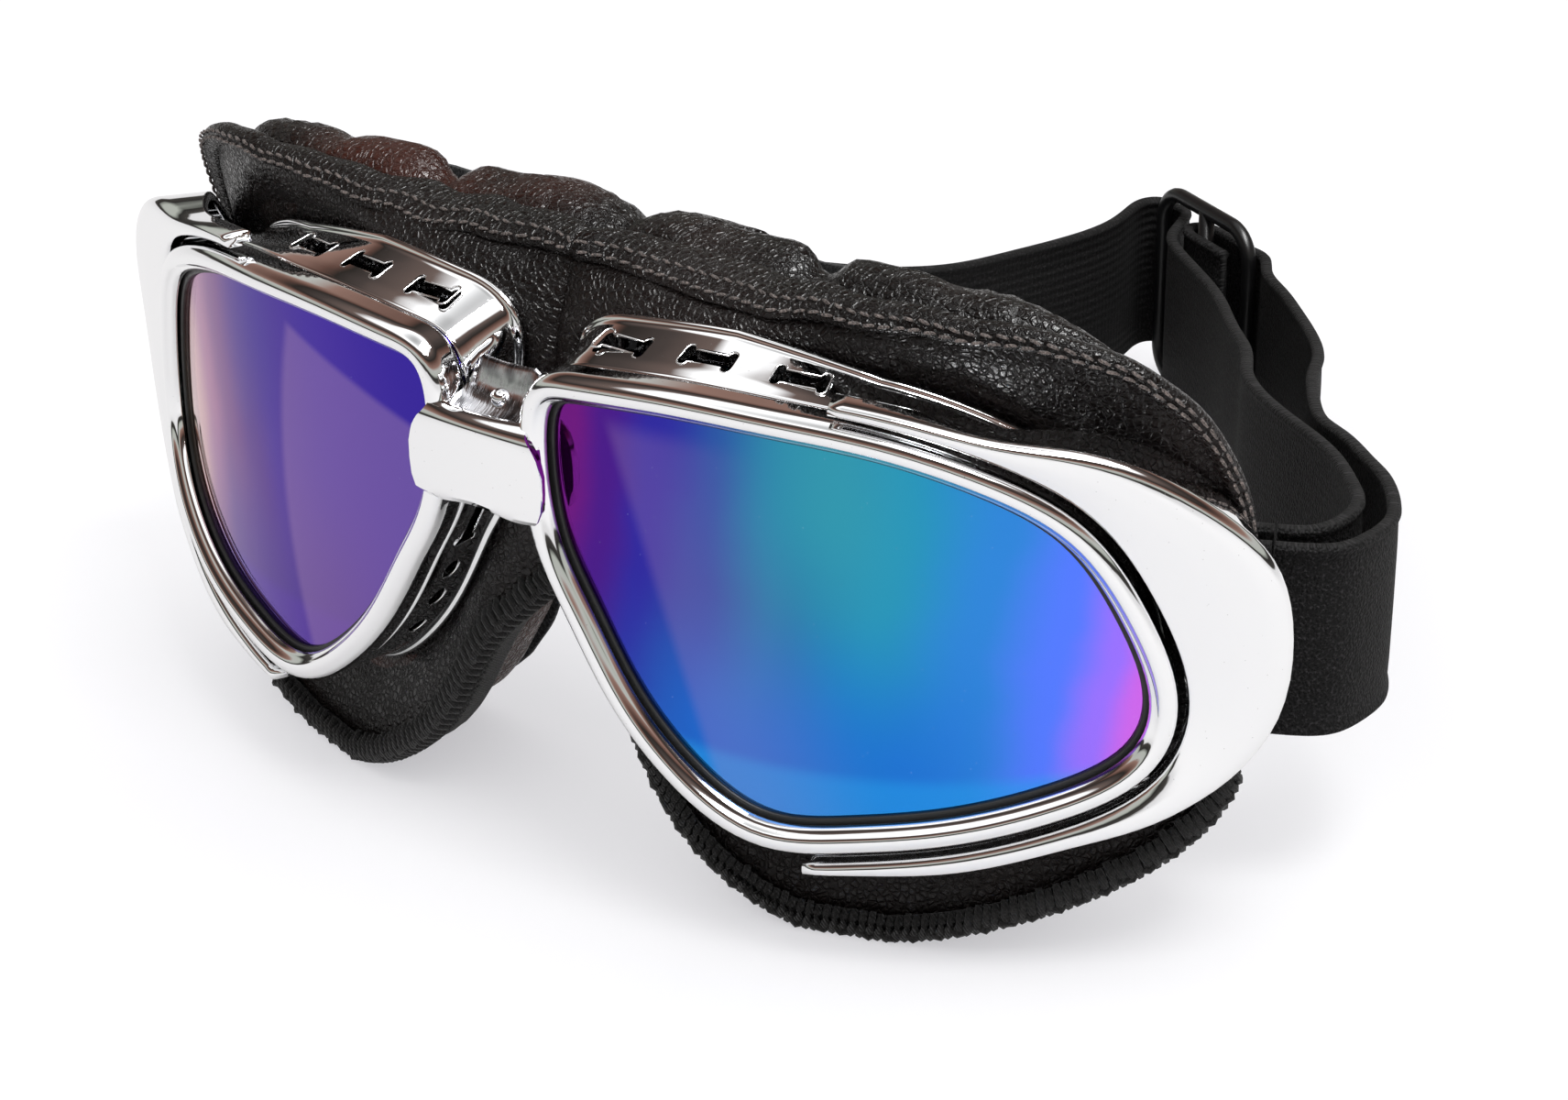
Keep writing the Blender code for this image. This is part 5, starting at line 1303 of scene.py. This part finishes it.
def near_strap():
    """The two runs on the wearer's left: the outer one to its sewn end, and the inner one through the slider."""
    knit, parting = "knit", (0.0393, 0.0377)
    near_end, end = from_slider(-SEWN_LEG - STRAP_WIDTH / 6, PASS), from_slider(-(SEWN_LEG + CLEAR), PASS)
    start = from_bar(STRAP_LEG + CLEAR, LOOP_RADIUS)
    route = [start, start + LEG_WAY * STRAP_THICKNESS, *placed(OUTER_ROUTE_SHARES, start, near_end), near_end, end]
    outer = band(("strap_outer", "strap_outer_end"), route, TEMPLE_Z, SLIDER_Z, knit, parted_at=parting)
    below, last = PASS + STRAP_THICKNESS + 2 * CLEAR, SLIDER_LENGTH / 2
    start = from_bar(STRAP_LEG + CLEAR, -LOOP_RADIUS)
    ends = [
        from_slider(SLIDER_BAR / 2 + CLEAR, -below), from_slider(last - SLIDER_BAR - CLEAR, PASS),
        from_slider(last - SLIDER_BAR / 2, PASS), from_slider(last + CLEAR, PASS),
    ]
    route = [start, start + LEG_WAY * STRAP_THICKNESS, *placed(INNER_ROUTE_SHARES, start, ends[0]), *ends]
    inner = band(("strap_inner", "strap_inner_end"), route, TEMPLE_Z, SLIDER_Z, knit, parted_at=parting)
    by_bar, on_bridge = (0.077, -0.0425, 0.037), (0.045, 0.0345, 0.025)
    before_slider, at_slider = (0.036, 0.043, SLIDER_Z), (*from_slider(-0.018, 0), SLIDER_Z)
    for (by_temple, by_slider), node in ((outer, "strap_outer_run"), (inner, "strap_inner_run")):
        strap_piece(by_temple, "left_half", "bridge", by_bar, on_bridge, node)
        strap_piece(by_slider, "bridge", "slider", before_slider, at_slider, node)


def far_strap():
    """The run on the wearer's right, from the slider to its bar."""
    start = from_slider(SLIDER_LENGTH / 2 + 2 * CLEAR, PASS)
    end = from_bar(STRAP_LEG + CLEAR, LOOP_RADIUS) * (-1, 1)
    before = end + LEG_WAY * (-1, 1) * STRAP_THICKNESS
    route = [start, *placed(REAR_ROUTE_SHARES, start, end), before, end]
    names = ("strap_rear_end", "strap_rear")
    by_slider, by_temple = band(names, route, SLIDER_Z, TEMPLE_Z, "ribbed", parted_at=(-0.028, 0.029))
    strap_piece(by_slider, "slider", "bridge", (*start, SLIDER_Z), (-0.026, 0.034, SLIDER_Z), "strap_rear_run")
    ends = ((-0.045, 0.0095, 0.025), (-0.077, -0.0425, 0.037))
    strap_piece(by_temple, "bridge", "right_half", *ends, "strap_rear_run")


def strap_fold(side_name, side):
    """The webbing's fold round the bar behind a cover."""
    turn = half_turn(BAR_AT, LEG_OUT * LOOP_RADIUS, -LEG_WAY * LOOP_RADIUS)
    route = [from_bar(STRAP_LEG, LOOP_RADIUS), *turn, from_bar(STRAP_LEG, -LOOP_RADIUS)]
    (made,) = band([f"strap_fold_{side_name}"], route, TEMPLE_Z, TEMPLE_Z, "knit", side, 3)
    return rides_half(made, side_name, "elastic_webbing", "strap_end")


def sewn_end():
    """The outer run's end, folded round the slider's bar and sewn down with two rows of stitches."""
    reach = SLIDER_BAR / 2 + 3 * CLEAR + STRAP_THICKNESS / 2
    turn = half_turn(SLIDER_AT, SLIDER_OUT * PASS, SLIDER_WAY * reach)
    route = [from_slider(-SEWN_LEG, PASS), *turn, from_slider(-SEWN_LEG, -PASS)]
    (made,) = band(["strap_sewn"], route, SLIDER_Z, SLIDER_Z, "knit", steps=3)
    stands_for(made, "slider", "elastic_webbing", "strap_sewn_end")
    pitch, half, rise = 0.0026, 0.0009, SLIDER_OUT * 0.0002
    rows = []
    for along in (-0.0062, -0.0074):
        place = from_slider(along, PASS + STRAP_THICKNESS * 0.5 + 0.0001)
        for number in range(-4, 5):
            z = SLIDER_Z + number * pitch
            rows.append([(*place, z - half), (*(place + rise), z), (*place, z + half)])
    stitches = threads("sewn_stitches", rows, 0.0002, "overlock")
    stands_for(stitches, "slider", "overlock_thread")


def wire_slider():
    """A rounded wire frame with a middle bar, which the webbing passes through."""
    wire, tall, corner = 0.0012, 0.0158, 0.0052
    long = SLIDER_LENGTH / 2 - wire
    line = []
    for quarter, (across, up) in enumerate(((1, 1), (-1, 1), (-1, -1), (1, -1))):
        for step in range(9):
            angle = math.radians(90) * (quarter + step / 8)
            along = across * (long - corner) + corner * math.cos(angle)
            line.append((*from_slider(along, 0), SLIDER_Z + up * (tall - corner) + corner * math.sin(angle)))
    line = np.array(line)
    onward = np.roll(line, -1, 0) - np.roll(line, 1, 0)
    onward /= np.linalg.norm(onward, axis=1)[:, None]
    out = np.array((*SLIDER_OUT, 0))
    inward = np.cross(onward, out)
    angles = 2 * math.pi * np.arange(12) / 12
    loops = [line + (inward * math.cos(angle) + out * math.sin(angle)) * wire for angle in angles]
    stands_for(ring("slider_frame", loops, "nylon", 1), "slider", "black_nylon", "strap_slider")
    ends = [(*SLIDER_AT, SLIDER_Z - tall), (*SLIDER_AT, SLIDER_Z + tall)]
    stands_for(piece("slider_bar", *tube(ends, 0.0013, 14), "nylon"), "slider", "black_nylon")


def dressed():
    """Finishes the rigid solids that the looks show as they are."""
    finishes = {"cover_stud": "steel"}
    for side_name in SIDES:
        finishes[f"strap_bracket_{side_name}"] = "nylon"
        for node in ("hinge_pin", "strap_bar", "cover_screw_upper", "cover_screw_lower"):
            finishes[f"{node}_{side_name}"] = "steel"
    for node, finish in finishes.items():
        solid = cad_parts[node]
        if not solid.material_slots:
            solid.data.materials.append(None)
        for slot in solid.material_slots:
            slot.material = FINISHES[finish]


# The studio
SKY_STOPS = (
    (0.0, (0.8, 0.79, 0.79)), (0.03, (0.06, 0.055, 0.05)), (0.13, (0.03, 0.028, 0.026)), (0.2, (0.46, 0.48, 0.43)),
    (0.33, (0.5, 0.5, 0.47)), (0.4, (0.3, 0.18, 0.145)), (0.54, (0.13, 0.07, 0.055)), (0.61, (0.03, 0.025, 0.022)),
    (0.7, (0.07, 0.055, 0.05)), (0.79, (0.16, 0.115, 0.1)), (0.83, (1.3, 1.3, 1.3)), (0.91, (1.3, 1.3, 1.3)),
    (1.0, (0.5, 0.5, 0.5)),
)


def studio():
    """A white table under soft even light, and a sky with dark, brown and white bands that bright metal shows."""
    floor = bpy.data.objects.new("table_top", bpy.data.meshes.new("table_top"))
    reach, under = 4, -0.0001
    corners = [(x * reach, y * reach, under) for x, y in ((-1, -1), (1, -1), (1, 1), (-1, 1))]
    floor.data.from_pydata(corners, [], [(0, 1, 2, 3)])
    table = Finish("white_table", (0.7, 0.7, 0.7), 0.9, specular_ior_level=0.0, emission_strength=1.0)
    seen = table.add("ShaderNodeLightPath", out="Is Camera Ray")
    table.feed(
        base_color=table.mix(seen, (0.8, 0.79, 0.79), (0.55, 0.55, 0.55)),
        emission_color=table.mix(seen, (0.0, 0.0, 0.0), (0.46, 0.455, 0.475)),
    )
    floor.data.materials.append(table.material)
    bpy.context.scene.collection.objects.link(floor)
    world = bpy.context.scene.world or bpy.data.worlds.new("studio")
    bpy.context.scene.world = world
    world.use_nodes = True
    sky = Nodes(world.node_tree, "Background")
    mirrored = sky.add("ShaderNodeLightPath", out="Is Glossy Ray")
    height = sky.split(sky.add("ShaderNodeTexCoord", out="Generated"))[2]
    sky.feed(color=sky.mix(mirrored, (1.0, 1.0, 1.0), sky.ramp(height, "LINEAR", SKY_STOPS)))
    sky.shader.inputs["Strength"].default_value = 1.0
    lamp_at("key", (0.3, -0.2, 0.6), 1.3, 0.24, 0.16)
    lamp_at("gloss", (0.2, 0.0, 0.6), 8.0, 0.45, 0.18).visible_diffuse = False


def lamp_at(name, place, energy, wide, tall):
    """An area lamp that faces the goggles."""
    lamp = bpy.data.objects.new(name, bpy.data.lights.new(name, "AREA"))
    lamp.data.energy, lamp.data.size, lamp.data.size_y, lamp.data.shape = energy, wide, tall, "RECTANGLE"
    lamp.location = place
    lamp.rotation_euler = (Vector((0, -0.03, 0.03)) - lamp.location).to_track_quat("-Z", "Y").to_euler()
    bpy.context.scene.collection.objects.link(lamp)
    return lamp


bpy.context.scene.view_settings.view_transform = "Standard"
studio()
dressed()
for side_name, side in SIDES.items():
    for build in (
        lens, gasket, bezel, eyecup, vent_rims, leather_sleeve, temple_cover, leather_skirt, face_cushion,
        face_lining, brow_roll, seam_edge, seam_stitches, overlock, strap_fold,
    ):
        build(side_name, side)
cover_plate()
saddle_tongue()
saddle_block()
for side_name, side in SIDES.items():
    hinge_barrel(side_name, side)
ball("saddle_pip", (-0.0069, FACE_Y + 0.0034, 0.0652), 0.0011, "bridge_rivet")
ball("saddle_rivet", (0, FACE_Y + 0.0037, 0.0638), 0.0012)
near_strap()
far_strap()
sewn_end()
wire_slider()
